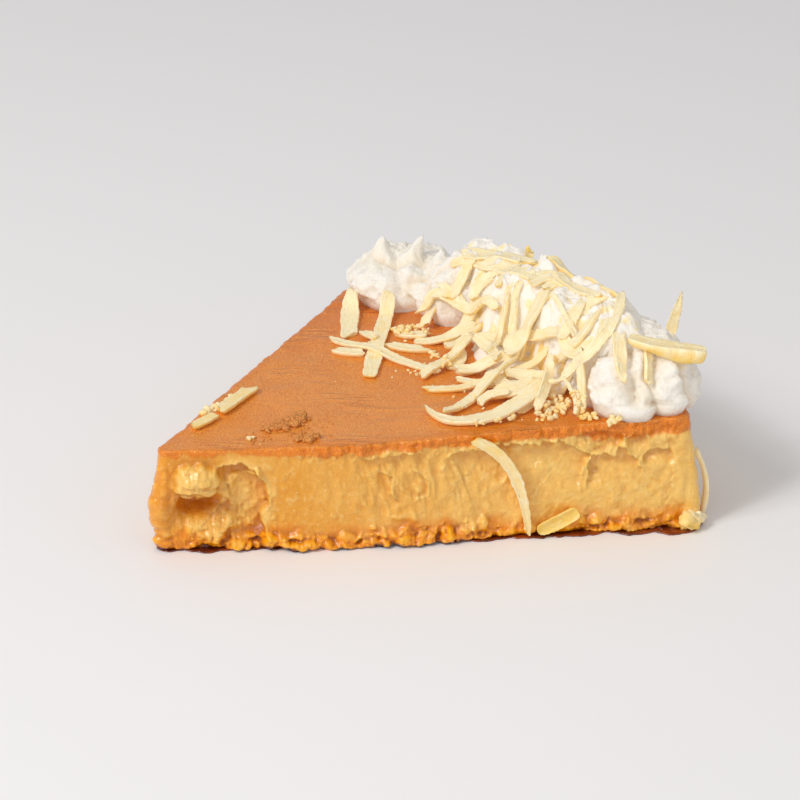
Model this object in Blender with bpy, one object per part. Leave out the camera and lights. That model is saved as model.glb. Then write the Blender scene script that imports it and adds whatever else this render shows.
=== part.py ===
"""One wedge of cheese flan: baked custard under a caramel layer, whipped cream piped along
the rim, and coarsely grated cheese heaped on the cream and scattered over the slice.

Units are metres and +Z is up. The slice lies on the XY plane with its tip towards -X and its
round rim towards +X; the origin is on the flat base, half way between tip and rim.
"""

import math

import bmesh
import bpy
import numpy as np

MM = 0.001

# The slice
PAN_RADIUS = 120 * MM
SLICE_HALF_ANGLE = math.radians(30)
TIP_HEIGHT = 24 * MM
RIM_HEIGHT = 27.5 * MM
RIM_LEAN = 3.4 * MM
CORNER_ROUND = 2 * MM
CARAMEL_THICKNESS = 2 * MM
CARAMEL_EDGE_ROUND = 0.6 * MM
GAP = 0.3 * MM

# Unevenness of the two cut faces
FACE_BELLY = 2.6 * MM
CRAG_REACH = 2.4 * MM
CRAG_HEIGHT = 2.6 * MM
UNDERCUT = 1.2 * MM

# The whipped cream, a fluted ridge that follows the rim
CREAM_RADIUS = 108.3 * MM
CREAM_FRONT_SHIFT = 2.2 * MM
CREAM_HALF_WIDTH = 12.6 * MM
CREAM_HEIGHT = 14.5 * MM
CREAM_FOOT = 2.4 * MM
CREAM_FRONT_ANGLE = math.radians(-23.6)
CREAM_BACK_ANGLE = math.radians(22.0)
CREAM_MOUND_PITCH = math.radians(11)
CREAM_MOUND_SWELL = 1.7 * MM
CREAM_FLUTES = 26
CREAM_FLUTE_DEPTH = 0.22
CREAM_FLUTE_SKEW = 0.5

# The grated cheese
SHRED_WIDTH = 2.8 * MM
SHRED_THICKNESS = 1.2 * MM
SHRED_COUNT = 46
SHRED_LENGTHS = (11, 21)
HEAP_CLEARANCE = 1.2 * MM
HEAP_SEED = 11
HEAP_ANGLES = (math.radians(-25), math.radians(14))
HEAP_NEAREST = 72 * MM
HEAP_NEAREST_ANGLE = math.radians(-8)
HEAP_CURVE = 164 * MM
HEAP_FARTHEST = 115 * MM
HEAP_DEPTH = 2.2 * MM
PATH_STEPS = 25
GOLDEN_SHARE = 0.618
MERGE_DISTANCE = 1e-6

# The pointed shred that stands in the cream and the thick one that lies over its end
STANDING_FOOT = np.array([51.5, -43.0]) * MM
STANDING_LEAN = np.array([-0.3, -3.6]) * MM
STANDING_LENGTH = 10.4 * MM
STANDING_POINT = 0.18
THICK_SHRED_DEPTH = 2.4 * MM

# The curl behind the rim wall
RIM_CURL_ANGLE = math.radians(-27.6)
RIM_CURL_TOP = 17 * MM
RIM_CURL_FOOT = 0.9 * MM
RIM_CURL_BOW = 1.6 * MM

# The shreds that stand out of the heap: start, bend and end seen from above, how far the two
# ends lie over the bed, and the width; all in millimetres
SHOWN_SHREDS = (
    ((-0.5, -19.5), (-7, -43), (30, -26), (0.6, 1.2), 3.2),
    ((1.5, -23.5), (16, -19), (33.5, -13), (0.8, 3.0), 2.6),
    ((5.5, -9.5), (14, -15), (28, -17), (1.0, 1.6), 2.6),
    ((5.8, 25.5), (9.5, 9), (17, -12), (1.9, 1.5), 2.8),
    ((24.5, 42), (17, 32), (8.5, 21.5), (1.2, 1.2), 4.0),
    ((25.0, 28.8), (14, 17.5), (-2, -1.2), (0.6, 0.9), 3.6),
    ((30.7, 23.3), (34, 10), (34.2, -3.1), (1.6, 2.0), 2.6),
    ((42.4, 17.9), (45, 9), (45.1, 0.0), (1.6, 1.6), 2.8),
    ((45.9, 0.6), (52, -13), (50.8, -26.2), (1.5, 1.5), 2.8),
    ((43.5, -36), (36.5, -41), (29.0, -45.3), (3.0, 1.2), 2.4),
    ((32.1, -22.2), (27, -26), (19.9, -28.5), (2.0, 1.6), 2.4),
    ((25.9, -33.7), (22, -43), (29.5, -45.5), (1.2, 1.2), 2.6),
    ((12.5, -7.5), (20, -7.5), (26, -1.0), (1.2, 2.4), 2.6),
    ((12.0, -3.0), (17, 3), (26.5, 4.5), (1.4, 2.0), 2.6),
    ((15.5, -16.5), (24, -16), (31.5, -22.5), (1.6, 1.4), 2.4),
    ((8.5, -28.3), (14, -24.5), (24, -27.5), (1.0, 1.2), 2.6),
    ((19.0, 9.5), (24, 2), (25.5, -8.0), (2.2, 2.6), 2.8),
)

TIP = np.array([-PAN_RADIUS / 2, 0.0])
CAP_MIDDLE = np.array([0.155 * PAN_RADIUS, 0.0])
FRONT_ALONG = np.array([math.cos(SLICE_HALF_ANGLE), -math.sin(SLICE_HALF_ANGLE)])
BACK_ALONG = np.array([math.cos(SLICE_HALF_ANGLE), math.sin(SLICE_HALF_ANGLE)])
FRONT_OUT = np.array([-math.sin(SLICE_HALF_ANGLE), -math.cos(SLICE_HALF_ANGLE)])
BACK_OUT = np.array([-math.sin(SLICE_HALF_ANGLE), math.cos(SLICE_HALF_ANGLE)])
UPWARD = (0.0, 0.0, 1.0)


def polar(radius, angle):
    """Places at a radius and an angle about the slice's tip."""
    return TIP + np.stack([radius * np.cos(angle), radius * np.sin(angle)], axis=-1)


def smooth_step(value):
    """Zero below 0, one above 1 and a smooth rise between."""
    clipped = np.clip(value, 0.0, 1.0)
    return clipped * clipped * (3.0 - 2.0 * clipped)


def bump(along, height, centre, half_size):
    """A round swelling of height one on a cut face; centre and half_size in millimetres."""
    across = (along / MM - centre[0]) / half_size[0]
    up = (height / MM - centre[1]) / half_size[1]
    return np.exp(-across**2 - up**2)


# ---------------------------------------------------------------- the slice

def stretch(start, end, face_start, face_end, columns, with_end=False):
    """Places and facings of one straight side or corner, at equal steps."""
    share = np.linspace(0, 1, columns + 1)
    if not with_end:
        share = share[:-1]
    return start + (end - start) * share[:, None], face_start + (face_end - face_start) * share


def slice_outline(front_columns, rim_columns, back_columns, corner_columns):
    """Places round the sharp wedge inset by CORNER_ROUND, with the direction faced at each.

    The wedge's own outline lies CORNER_ROUND outside these places along the directions, which
    rounds its three corners. It runs anticlockwise from the middle of the tip.
    """
    inset_radius = PAN_RADIUS - CORNER_ROUND
    corner = SLICE_HALF_ANGLE - math.asin(CORNER_ROUND / inset_radius)
    tip = TIP + [CORNER_ROUND / math.sin(SLICE_HALF_ANGLE), 0.0]
    front = polar(inset_radius, -corner)
    back = polar(inset_radius, corner)
    facing_tip = math.pi
    facing_front = 1.5 * math.pi - SLICE_HALF_ANGLE
    facing_back = 2.5 * math.pi + SLICE_HALF_ANGLE
    facing_rim = math.tau + np.linspace(-corner, corner, rim_columns + 1)
    stretches = [
        stretch(tip, tip, facing_tip, facing_front, corner_columns),
        stretch(tip, front, facing_front, facing_front, front_columns),
        stretch(front, front, facing_front, facing_rim[0], corner_columns, with_end=True),
        (polar(inset_radius, facing_rim[1:-1]), facing_rim[1:-1]),
        stretch(back, back, facing_rim[-1], facing_back, corner_columns),
        stretch(back, tip, facing_back, facing_back, back_columns),
        stretch(tip, tip, facing_back, facing_tip + math.tau, corner_columns),
    ]
    places = np.concatenate([along for along, _ in stretches])
    facings = np.concatenate([facing for _, facing in stretches])
    outward = np.stack([np.cos(facings), np.sin(facings)], axis=-1)
    return places, outward


def top_height(places):
    """Height of the caramel's surface: it rises from the tip to the rim."""
    reach = np.linalg.norm(places - TIP, axis=-1) / PAN_RADIUS
    return TIP_HEIGHT + (RIM_HEIGHT - TIP_HEIGHT) * reach**1.5


def crags(along, height, phase):
    """Lumps of custard that stand out along the foot of a cut face."""
    waves = (0.42 * np.sin(along / (1.25 * MM) + phase)
             + 0.34 * np.sin(along / (0.71 * MM) + 2.3 * phase)
             + 0.44 * np.sin(along / (2.60 * MM) + 0.7 * phase))
    foot = np.exp(-((height - 1.9 * MM) / CRAG_HEIGHT)**2)
    return CRAG_REACH * (0.75 + 0.6 * waves) * foot


def front_relief(along, height):
    """How far the front cut stands out: belly, torn lump and hollow by the tip, crags."""
    belly = FACE_BELLY * np.sin(np.pi * np.clip(along / (100 * MM), 0, 1))**2
    lump = 2.8 * MM * bump(along, height, (8.5, 17.6), (5.0, 3.0))
    hollow = -4.4 * MM * bump(along, height, (9.8, 10.6), (5.6, 3.6))
    torn_edge = smooth_step((24.5 * MM - along) / (2.0 * MM)) * smooth_step((along - 11 * MM) / (4 * MM))
    torn = -2.2 * MM * torn_edge * bump(along, height, (19.0, 12.5), (14.0, 6.5))
    big_crags = 2.6 * MM * bump(along, height, (32.0, 1.6), (5.5, 2.6))
    big_crags += 2.0 * MM * bump(along, height, (104.0, 1.6), (5.0, 2.2))
    scallops = -0.9 * MM * bump(along, height, (88.0, 17.5), (7.0, 3.8))
    scallops += -0.8 * MM * bump(along, height, (103.0, 13.0), (6.0, 5.0))
    return belly + lump + hollow + torn + big_crags + scallops + crags(along, height, 0.9)


def back_relief(along, height):
    """How far the back cut stands out: a shallow smear, a torn patch and crags."""
    smear = 0.8 * MM * bump(along, height, (55.0, 14.0), (26.0, 8.0))
    torn = -1.6 * MM * bump(along, height, (84.0, 11.0), (9.0, 5.0))
    return smear + torn + 0.8 * crags(along, height, 2.1)


def wall_reach(places, outward, height):
    """How far the slice's side stands outside its sharp wedge at a height."""
    offsets = places - TIP
    front_share = smooth_step((outward @ FRONT_OUT - 0.35) / 0.65)
    back_share = smooth_step((outward @ BACK_OUT - 0.35) / 0.65)
    rim_share = smooth_step(outward[:, 0] / 0.5)
    tip_share = smooth_step((-outward[:, 0] - 0.5) / 0.5)
    tip_bulge = 2.6 * MM * np.exp(-((height - 10 * MM) / (8 * MM))**2)
    lean = RIM_LEAN * (1 - height / top_height(places))
    foot = UNDERCUT * np.exp(-(height / (0.5 * MM))**2)
    return (front_share * front_relief(offsets @ FRONT_ALONG, height)
            + back_share * back_relief(offsets @ BACK_ALONG, height)
            + rim_share * lean + tip_share * tip_bulge - foot)


def wall_ring(places, outward, height, inset=0.0):
    """One ring of points round the slice's side at a height, which may vary round it."""
    height = np.broadcast_to(height, len(places))
    reach = CORNER_ROUND + wall_reach(places, outward, height) - inset
    return np.column_stack([places + outward * reach[:, None], height])


def cap_rings(rim, scales, surface):
    """Rings that shrink from a rim towards the middle of the slice, on a surface."""
    rings = []
    for scale in scales:
        flat = CAP_MIDDLE + (rim[:, :2] - CAP_MIDDLE) * scale
        rings.append(np.column_stack([flat, surface(flat)]))
    return rings


def custard_rings():
    """The custard from its flat base up its uneven sides to the caramel."""
    places, outward = slice_outline(front_columns=52, rim_columns=26, back_columns=38, corner_columns=3)
    full = top_height(places) - CARAMEL_THICKNESS - GAP
    levels = np.array([0.0, 0.035, 0.085, 0.16, 0.25, 0.35, 0.45, 0.55, 0.66, 0.77, 0.89, 1.0])
    rings = [wall_ring(places, outward, full * level) for level in levels]
    roof = cap_rings(rings[-1], (0.55,), lambda flat: top_height(flat) - CARAMEL_THICKNESS - GAP)
    return rings + roof


def caramel_rings():
    """The caramel layer: underside, edge that follows the cut, and the skin on top."""
    places, outward = slice_outline(front_columns=52, rim_columns=26, back_columns=38, corner_columns=3)
    full = top_height(places)
    edge = [
        wall_ring(places, outward, full - CARAMEL_THICKNESS),
        wall_ring(places, outward, full - CARAMEL_EDGE_ROUND),
        wall_ring(places, outward, full - 0.12 * MM, inset=CARAMEL_EDGE_ROUND),
    ]
    under = cap_rings(edge[0], (0.55,), lambda flat: top_height(flat) - CARAMEL_THICKNESS)
    skin = cap_rings(edge[-1], (0.93, 0.55), top_height)
    return under + edge + skin


# ---------------------------------------------------------------- the whipped cream

def cream_spine(angle):
    """The line under the ridge's top; it runs out towards the rim at the front end."""
    shift = CREAM_FRONT_SHIFT * smooth_step((math.radians(-14) - angle) / math.radians(9))
    return polar(CREAM_RADIUS + shift, angle)


def cream_half_width(angle):
    """Half the ridge's width: it swells at every mound and most at the back end."""
    swell = np.cos(math.tau * (angle - CREAM_BACK_ANGLE) / CREAM_MOUND_PITCH)
    back_end = smooth_step((angle - math.radians(17)) / math.radians(5))
    return CREAM_HALF_WIDTH + CREAM_MOUND_SWELL * swell * 0.7 + 1.2 * MM * back_end


def cream_crest(angle):
    """Height of the ridge over the caramel, with its mounds and torn peaks."""
    degrees = np.degrees(angle)
    swell = np.cos(math.tau * (angle - CREAM_BACK_ANGLE) / CREAM_MOUND_PITCH)
    crest = CREAM_HEIGHT + CREAM_MOUND_SWELL * 0.6 * swell
    crest = crest + 2.0 * MM * np.exp(-((degrees + 17.5) / 3.4)**2)
    crest = crest + 1.4 * MM * np.exp(-((degrees - 20.8) / 1.1)**2)
    crest = crest - 1.6 * MM * smooth_step((degrees - 12) / 8)
    return crest


def dome(share):
    """Profile of the ridge: one over its spine and zero at its widest."""
    return (1.0 - np.clip(share, 0, 1)**2.2)**0.6


def cream_columns(straight_columns, end_columns):
    """Stations round the ridge: angle of the spine, direction out, and share of the way round."""
    run = np.linspace(CREAM_FRONT_ANGLE, CREAM_BACK_ANGLE, straight_columns + 1)
    half_turn = np.linspace(0, math.pi, end_columns + 1)[1:-1]
    angles = np.concatenate([run, np.full(end_columns - 1, CREAM_BACK_ANGLE),
                             run[::-1], np.full(end_columns - 1, CREAM_FRONT_ANGLE)])
    facings = np.concatenate([run, CREAM_BACK_ANGLE + half_turn,
                              run[::-1] + math.pi, CREAM_FRONT_ANGLE + math.pi + half_turn])
    share = np.arange(len(angles)) / len(angles)
    return angles, facings, share


def cream_ring(columns, share_out, rise):
    """One ring round the ridge, share_out of the way from the spine to its widest line."""
    angles, facings, around = columns
    drift = 0.45 * np.sin(math.tau * 3 * around) + 0.3 * np.sin(math.tau * 7 * around + 1)
    phase = around * CREAM_FLUTES + drift + CREAM_FLUTE_SKEW * share_out
    flute = np.abs(np.sin(np.pi * phase))**0.8 - 0.62
    width = cream_half_width(angles) * share_out * (1 + CREAM_FLUTE_DEPTH * flute * share_out)
    out = np.column_stack([np.cos(facings), np.sin(facings)])
    flat = cream_spine(angles) + width[:, None] * out
    lift = 1 + 0.10 * flute * np.sin(np.pi * min(share_out, 1.0))
    crest = (cream_crest(angles) - CREAM_FOOT) * lift
    height = top_height(cream_spine(angles)) + rise + crest * dome(share_out)
    return np.column_stack([flat, height])


def cream_rings():
    """The ridge from its foot, out to its widest line, and up to its spine."""
    columns = cream_columns(straight_columns=40, end_columns=20)
    foot = cream_ring(columns, 0.9, 0.0)
    foot[:, 2] = top_height(foot[:, :2]) + GAP
    rings = [foot, cream_ring(columns, 1.0, CREAM_FOOT)]
    for slant in np.radians([22, 42, 58, 71, 82]):
        rings.append(cream_ring(columns, math.cos(slant), CREAM_FOOT))
    rings.append(cream_ring(columns, 0.0, CREAM_FOOT))
    return rings


def cream_envelope(places, grow):
    """Height of a smooth skin that lies grow outside the cream, or under it all beside it."""
    offsets = places - TIP
    angle = np.clip(np.arctan2(offsets[:, 1], offsets[:, 0]), CREAM_FRONT_ANGLE, CREAM_BACK_ANGLE)
    spine = cream_spine(angle)
    share = np.linalg.norm(places - spine, axis=-1) / (cream_half_width(angle) * 1.05 + grow)
    crest = cream_crest(angle) * 1.04 - CREAM_FOOT + grow
    height = top_height(spine) + CREAM_FOOT + crest * dome(share)
    return np.where(share < 1.0, height, 0.0)


# ---------------------------------------------------------------- meshes

def build_object(name, points, faces):
    """A mesh object from points and faces, its doubles merged and its faces turned outward."""
    mesh = bpy.data.meshes.new(name)
    mesh.from_pydata([tuple(point) for point in points], [], faces)
    work = bmesh.new()
    work.from_mesh(mesh)
    bmesh.ops.remove_doubles(work, verts=work.verts, dist=MERGE_DISTANCE)
    bmesh.ops.recalc_face_normals(work, faces=work.faces)
    work.to_mesh(mesh)
    work.free()
    return bpy.data.objects.new(name, mesh)


def loft(name, rings, close_first, close_last):
    """Skin rings of equal count in order; an end is closed by a flat face or by a point."""
    count = len(rings[0])
    points = [point for ring in rings for point in ring]
    around = [(column, (column + 1) % count) for column in range(count)]
    faces = []
    for level in range(len(rings) - 1):
        low, high = level * count, (level + 1) * count
        faces += [(low + a, low + b, high + b, high + a) for a, b in around]
    for closing, level in ((close_first, 0), (close_last, len(rings) - 1)):
        start = level * count
        if closing == "face":
            faces.append(tuple(range(start, start + count)))
        if closing == "point":
            points.append(rings[level].mean(axis=0))
            faces += [(start + a, start + b, len(points) - 1) for a, b in around]
    return build_object(name, points, faces)


def largest_body(mesh):
    """Keep a mesh's largest closed body: loose scraps and sealed hollows are removed."""
    work = bmesh.new()
    work.from_mesh(mesh)
    waiting = set(work.verts)
    bodies = []
    while waiting:
        body, edge = set(), [waiting.pop()]
        while edge:
            vertex = edge.pop()
            body.add(vertex)
            linked = {side.other_vert(vertex) for side in vertex.link_edges} & waiting
            waiting -= linked
            edge.extend(linked)
        bodies.append(body)
    bodies.sort(key=len)
    for body in bodies[:-1]:
        bmesh.ops.delete(work, geom=list(body), context="VERTS")
    bmesh.ops.triangulate(work, faces=work.faces)
    work.to_mesh(mesh)
    work.free()


# ---------------------------------------------------------------- the grated cheese

def heap_bed(places, clearance=HEAP_CLEARANCE):
    """Height of what the grated cheese lies on, with room left over the cream."""
    caramel = top_height(places) + GAP
    return np.maximum(caramel, cream_envelope(places, clearance))


def heap_inner_radius(angle):
    """Distance from the tip at which the heap begins, least where it spills out furthest."""
    return HEAP_NEAREST + HEAP_CURVE * (angle - HEAP_NEAREST_ANGLE)**2


def heap_core():
    """A thin blanket over the middle of the cream and the caramel in front of it."""
    angles = np.linspace(*HEAP_ANGLES, 27)
    shares = np.linspace(0, 1, 15)
    middle = (angles - HEAP_ANGLES[0]) / (HEAP_ANGLES[1] - HEAP_ANGLES[0])
    inner = heap_inner_radius(angles) + 1.5 * MM * np.sin(9 * np.pi * middle)
    outer = HEAP_FARTHEST - 5 * MM * (2 * middle - 1)**6
    radii = inner[:, None] + (outer - inner)[:, None] * shares
    places = polar(radii, angles[:, None]).reshape(-1, 2)
    bed = heap_bed(places)
    edge = np.minimum(np.sin(np.pi * middle)[:, None], np.sin(np.pi * shares)).reshape(-1)
    front = smooth_step((98 * MM - radii.reshape(-1)) / (12 * MM))
    depth = HEAP_DEPTH * (0.35 + smooth_step(edge / 0.45) * (0.65 + 0.5 * front))
    low = np.column_stack([places, bed])
    high = np.column_stack([places, bed + depth])
    rows, columns = len(angles), len(shares)
    index = np.arange(rows * columns).reshape(rows, columns)
    border = np.concatenate([index[0, :-1], index[:-1, -1], index[-1, :0:-1], index[:0:-1, 0]])
    quads = np.stack([index[:-1, :-1], index[:-1, 1:], index[1:, 1:], index[1:, :-1]], axis=-1)
    quads = quads.reshape(-1, 4)
    step = rows * columns
    sides = [(a, b, b + step, a + step) for a, b in zip(border, np.roll(border, -1))]
    faces = [tuple(quad) for quad in quads] + [tuple(quad + step) for quad in quads] + sides
    return build_object("heap_core", np.vstack([low, high]), faces)


def curve_through(start, bend, end):
    """Points along a parabola that leaves start and reaches end, both aimed at bend."""
    start, bend, end = (np.array(place) * MM for place in (start, bend, end))
    share = np.linspace(0, 1, PATH_STEPS)[:, None]
    return (1 - share)**2 * start + 2 * share * (1 - share) * bend + share**2 * end


def shred_path(start, bend, end, lifts, clearance=HEAP_CLEARANCE):
    """A curved line over the bed from start to end, raised until all of it clears the bed."""
    flat = curve_through(start, bend, end)
    along = np.gradient(flat, axis=0)
    along /= np.linalg.norm(along, axis=1)[:, None]
    across = np.column_stack([along[:, 1], -along[:, 0]]) * SHRED_WIDTH * 0.6
    bed = np.max([heap_bed(flat + across * side, clearance) for side in (-1, 0, 1)], axis=0)
    line = np.linspace(bed[0] + lifts[0] * MM, bed[-1] + lifts[1] * MM, PATH_STEPS)
    line = line + max(0.0, np.max(bed - line)) + SHRED_THICKNESS / 2
    return np.column_stack([flat, line])


def blunt(share):
    """Share of a shred's full width: narrower towards both ends."""
    return 0.4 + 0.6 * np.sin(np.pi * (0.06 + 0.88 * share))**0.5


def pointed(share):
    """Share of a shred's full width: widest at its start and a point at its end."""
    return 1.0 - (1.0 - STANDING_POINT) * share


def strip(name, path, width, segments, facing=UPWARD, depth=SHRED_THICKNESS, taper=blunt):
    """A flat strip carried along a path with its flat side to facing."""
    picks = np.linspace(0, len(path) - 1, segments + 1).round().astype(int)
    along = np.gradient(path, axis=0)[picks]
    along /= np.linalg.norm(along, axis=1)[:, None]
    side = np.cross(along, facing)
    side /= np.linalg.norm(side, axis=1)[:, None]
    up = np.cross(side, along)
    shares = taper(np.linspace(0, 1, segments + 1))
    rings = []
    for centre, reach, rise, share in zip(path[picks], side, up, shares):
        half_width, half_depth = reach * width * share / 2, rise * depth / 2
        rings.append(centre + np.array([-half_width - half_depth, half_width - half_depth,
                                        half_width + half_depth, -half_width + half_depth]))
    return loft(name, rings, "face", "face")


def float_over_bed(path):
    """Mean height of a shred's path over what it lies on."""
    return float(np.mean(path[:, 2] - heap_bed(path[:, :2])))


def scattered_path(number, generator):
    """A shred of the heap's filling: of several ways it could lie, the one nearest the bed."""
    share = (number + 0.5) / SHRED_COUNT
    angle = HEAP_ANGLES[0] + (HEAP_ANGLES[1] - HEAP_ANGLES[0]) * share
    depth = ((number * GOLDEN_SHARE) % 1.0)**1.3
    radius = heap_inner_radius(angle) + 3 * MM
    radius += (HEAP_FARTHEST - 4 * MM - radius) * depth
    centre = polar(radius, angle) / MM
    length = generator.uniform(*SHRED_LENGTHS)
    ways = []
    for heading in generator.uniform(0, math.pi, 6):
        along = np.array([math.cos(heading), math.sin(heading)]) * length / 2
        bow = np.array([-along[1], along[0]]) * generator.uniform(-0.4, 0.4)
        lifts = generator.uniform(0.6, 1.8, 2)
        ways.append(shred_path(centre - along, centre + bow, centre + along, lifts))
    return min(ways, key=float_over_bed)


def grated_cheese(pieces):
    """The heap: its blanket with the shreds that show joined on."""
    generator = np.random.default_rng(HEAP_SEED)
    core = heap_core()
    laid = [(shred_path(*row[:4]), row[4] * MM, 6) for row in SHOWN_SHREDS]
    laid += [(scattered_path(number, generator), SHRED_WIDTH, 4) for number in range(SHRED_COUNT)]
    for number, (path, width, segments) in enumerate(laid):
        pieces.objects.link(strip(f"heap_shred_{number:02d}", path, width, segments))
    bpy.context.scene.collection.objects.link(core)
    join = core.modifiers.new("join", "BOOLEAN")
    join.operation = "UNION"
    join.operand_type = "COLLECTION"
    join.collection = pieces
    join.solver = "EXACT"
    bpy.context.view_layer.update()
    shape = bpy.data.meshes.new_from_object(core.evaluated_get(bpy.context.evaluated_depsgraph_get()))
    largest_body(shape)
    for used in [core] + list(pieces.objects):
        bpy.data.objects.remove(used, do_unlink=True)
    return bpy.data.objects.new("grated_cheese", shape)


# ---------------------------------------------------------------- the loose shreds

def face_path(start, bend, end):
    """A shred's line over the front cut, each place given as along and height."""
    on_face = curve_through(start, bend, end)
    along, height = on_face[:, 0], on_face[:, 1]
    across = (-1.0, 0.0, 1.0)
    reach = np.max([front_relief(along + side * SHRED_WIDTH / 2, height) for side in across], axis=0)
    out = np.linspace(reach[0], reach[-1], PATH_STEPS)
    out = out + max(0.0, np.max(reach - out)) + GAP + SHRED_THICKNESS / 2
    flat = TIP + FRONT_ALONG * along[:, None] + FRONT_OUT * out[:, None]
    return np.column_stack([flat, height])


def standing_path():
    """A pointed shred that stands upright in the outer side of the cream."""
    foot = STANDING_FOOT[None, :]
    height = heap_bed(foot, GAP)[0]
    share = np.linspace(0, 1, PATH_STEPS)[:, None]
    return np.column_stack([foot + STANDING_LEAN * share, height + STANDING_LENGTH * share])


def rim_curl_path():
    """A curl that leans on the rim wall by the front corner and stands on its lower end."""
    share = np.linspace(0, 1, PATH_STEPS)
    height = RIM_CURL_TOP + (RIM_CURL_FOOT - RIM_CURL_TOP) * share
    wall = PAN_RADIUS + RIM_LEAN * (1 - height / RIM_HEIGHT)
    out = GAP + SHRED_THICKNESS / 2 + RIM_CURL_BOW * np.sin(np.pi * share)
    return np.column_stack([polar(wall + out, np.full(PATH_STEPS, RIM_CURL_ANGLE)), height])


def loose_shreds():
    """The shreds that lie apart from the heap, each a piece of its own."""
    front = (*FRONT_OUT, 0.0)
    tip_side = (-0.8, -0.6, 0.0)
    rim = (math.cos(RIM_CURL_ANGLE), math.sin(RIM_CURL_ANGLE), 0.0)
    tip_large = shred_path((-24.2, 14.4), (-31, 10.9), (-36.9, 8.0), (0.0, 0.0))
    tip_small = shred_path((-39.2, 6.6), (-42.5, 5.6), (-46.4, 4.6), (0.0, 0.0))
    thick = shred_path((35.1, -47.6), (41.5, -54.6), (47.6, -59.6), (0.4, 11.4), GAP)
    thick[:, 2] += (THICK_SHRED_DEPTH - SHRED_THICKNESS) / 2
    front_long = face_path((70.5, 25.0), (81.5, 21.0), (83.3, 0.9))
    front_short = face_path((85.3, 1.9), (90, 3.4), (94.6, 5.9))
    return [
        strip("shred_tip_large", tip_large, 2.9 * MM, 8),
        strip("shred_tip_small", tip_small, 2.0 * MM, 8),
        strip("shred_cream_thick", thick, 3.4 * MM, 8, UPWARD, THICK_SHRED_DEPTH),
        strip("shred_standing", standing_path(), 3.2 * MM, 8, tip_side, taper=pointed),
        strip("shred_front_long", front_long, 2.7 * MM, 8, front),
        strip("shred_front_short", front_short, 2.6 * MM, 8, front),
        strip("shred_rim_curl", rim_curl_path(), 2.4 * MM, 8, rim),
    ]


# ---------------------------------------------------------------- scene

def clear_scene():
    """Remove every object of the open file."""
    for old in list(bpy.data.objects):
        bpy.data.objects.remove(old, do_unlink=True)


def make_material(name, colour, roughness):
    """A plain food finish."""
    material = bpy.data.materials.new(name)
    material.use_nodes = True
    shader = material.node_tree.nodes["Principled BSDF"]
    shader.inputs["Base Color"].default_value = (*colour, 1.0)
    shader.inputs["Roughness"].default_value = roughness
    shader.inputs["Metallic"].default_value = 0.0
    return material


def main():
    clear_scene()
    flan = bpy.data.collections.new("cheese_flan_slice")
    bpy.context.scene.collection.children.link(flan)
    pieces = bpy.data.collections.new("heap_pieces")
    bpy.context.scene.collection.children.link(pieces)
    custard = loft("custard", custard_rings(), "face", "point")
    caramel = loft("caramel_top", caramel_rings(), "point", "point")
    cream = loft("whipped_cream", cream_rings(), "face", "none")
    heap = grated_cheese(pieces)
    bpy.data.collections.remove(pieces)
    finishes = [
        ([custard], make_material("baked_custard", (0.75, 0.42, 0.12), 0.35)),
        ([caramel], make_material("caramel_skin", (0.60, 0.20, 0.04), 0.25)),
        ([cream], make_material("whipped_cream", (0.85, 0.80, 0.70), 0.5)),
        ([heap] + loose_shreds(), make_material("grated_cheese", (0.85, 0.65, 0.30), 0.45)),
    ]
    for pieces_alike, material in finishes:
        for piece in pieces_alike:
            flan.objects.link(piece)
            piece.data.materials.append(material)


if __name__ == "__main__":
    main()
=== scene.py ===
"""The looks of a slice of cheese flan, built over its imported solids.

The flan has a torn, moist front cut, an amber skin, piped cream along its rim and a heap of
grated cheese. Lengths in the formulas are millimetres; meshes and settings are in metres. The
slice lies on z = 0 with its tip towards -X, its round rim towards +X and its origin half way
between them. "Along" is a distance from the sharp tip, measured on a cut face.
"""

import itertools
import math

import bpy
import numpy as np
from bpy.props import FloatProperty, FloatVectorProperty, IntProperty, PointerProperty
from mathutils import Matrix, Vector


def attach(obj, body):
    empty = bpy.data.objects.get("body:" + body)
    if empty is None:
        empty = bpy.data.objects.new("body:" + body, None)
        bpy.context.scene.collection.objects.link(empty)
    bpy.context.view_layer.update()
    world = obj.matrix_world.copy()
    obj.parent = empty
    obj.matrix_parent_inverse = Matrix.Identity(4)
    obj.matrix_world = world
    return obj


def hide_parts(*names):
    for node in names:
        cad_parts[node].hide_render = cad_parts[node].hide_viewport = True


bl_info = {
    "name": "Cheese Flan Slice",
    "version": (1, 0, 0),
    "blender": (4, 5, 0),
    "location": "3D View > Sidebar > Flan",
    "description": "Builds a slice of cheese flan with piped cream and grated cheese",
    "category": "Add Mesh",
}

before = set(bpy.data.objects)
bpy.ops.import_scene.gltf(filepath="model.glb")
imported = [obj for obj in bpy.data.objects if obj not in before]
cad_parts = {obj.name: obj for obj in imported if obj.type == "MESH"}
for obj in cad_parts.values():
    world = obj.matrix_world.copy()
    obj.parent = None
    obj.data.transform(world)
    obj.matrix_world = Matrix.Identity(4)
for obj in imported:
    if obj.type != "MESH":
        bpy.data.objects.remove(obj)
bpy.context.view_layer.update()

MM = 0.001
BODY = "root"
UP = np.array([0.0, 0.0, 1.0])
# Random values along each side of the grain's table, after which it repeats
LATTICE = 32

# The camera: where it stands in millimetres, and which ways its picture runs. VIEW_FOCAL is its
# focal length in pixels of a picture VIEW_SIZE wide, the measure of every (u, v) place below.
VIEW_PLACE = np.array([-372.07, -509.31, 287.90])
VIEW_RIGHT = np.array([0.8029062, -0.59609013, 0.00426558])
VIEW_DOWN = np.array([-0.22869128, -0.31462914, -0.92125393])
VIEW_FORWARD = np.array([0.55049245, 0.73870499, -0.3889383])
VIEW_FOCAL = 2979.8
VIEW_SIZE = 800
SENSOR_WIDTH = 36.0


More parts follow.
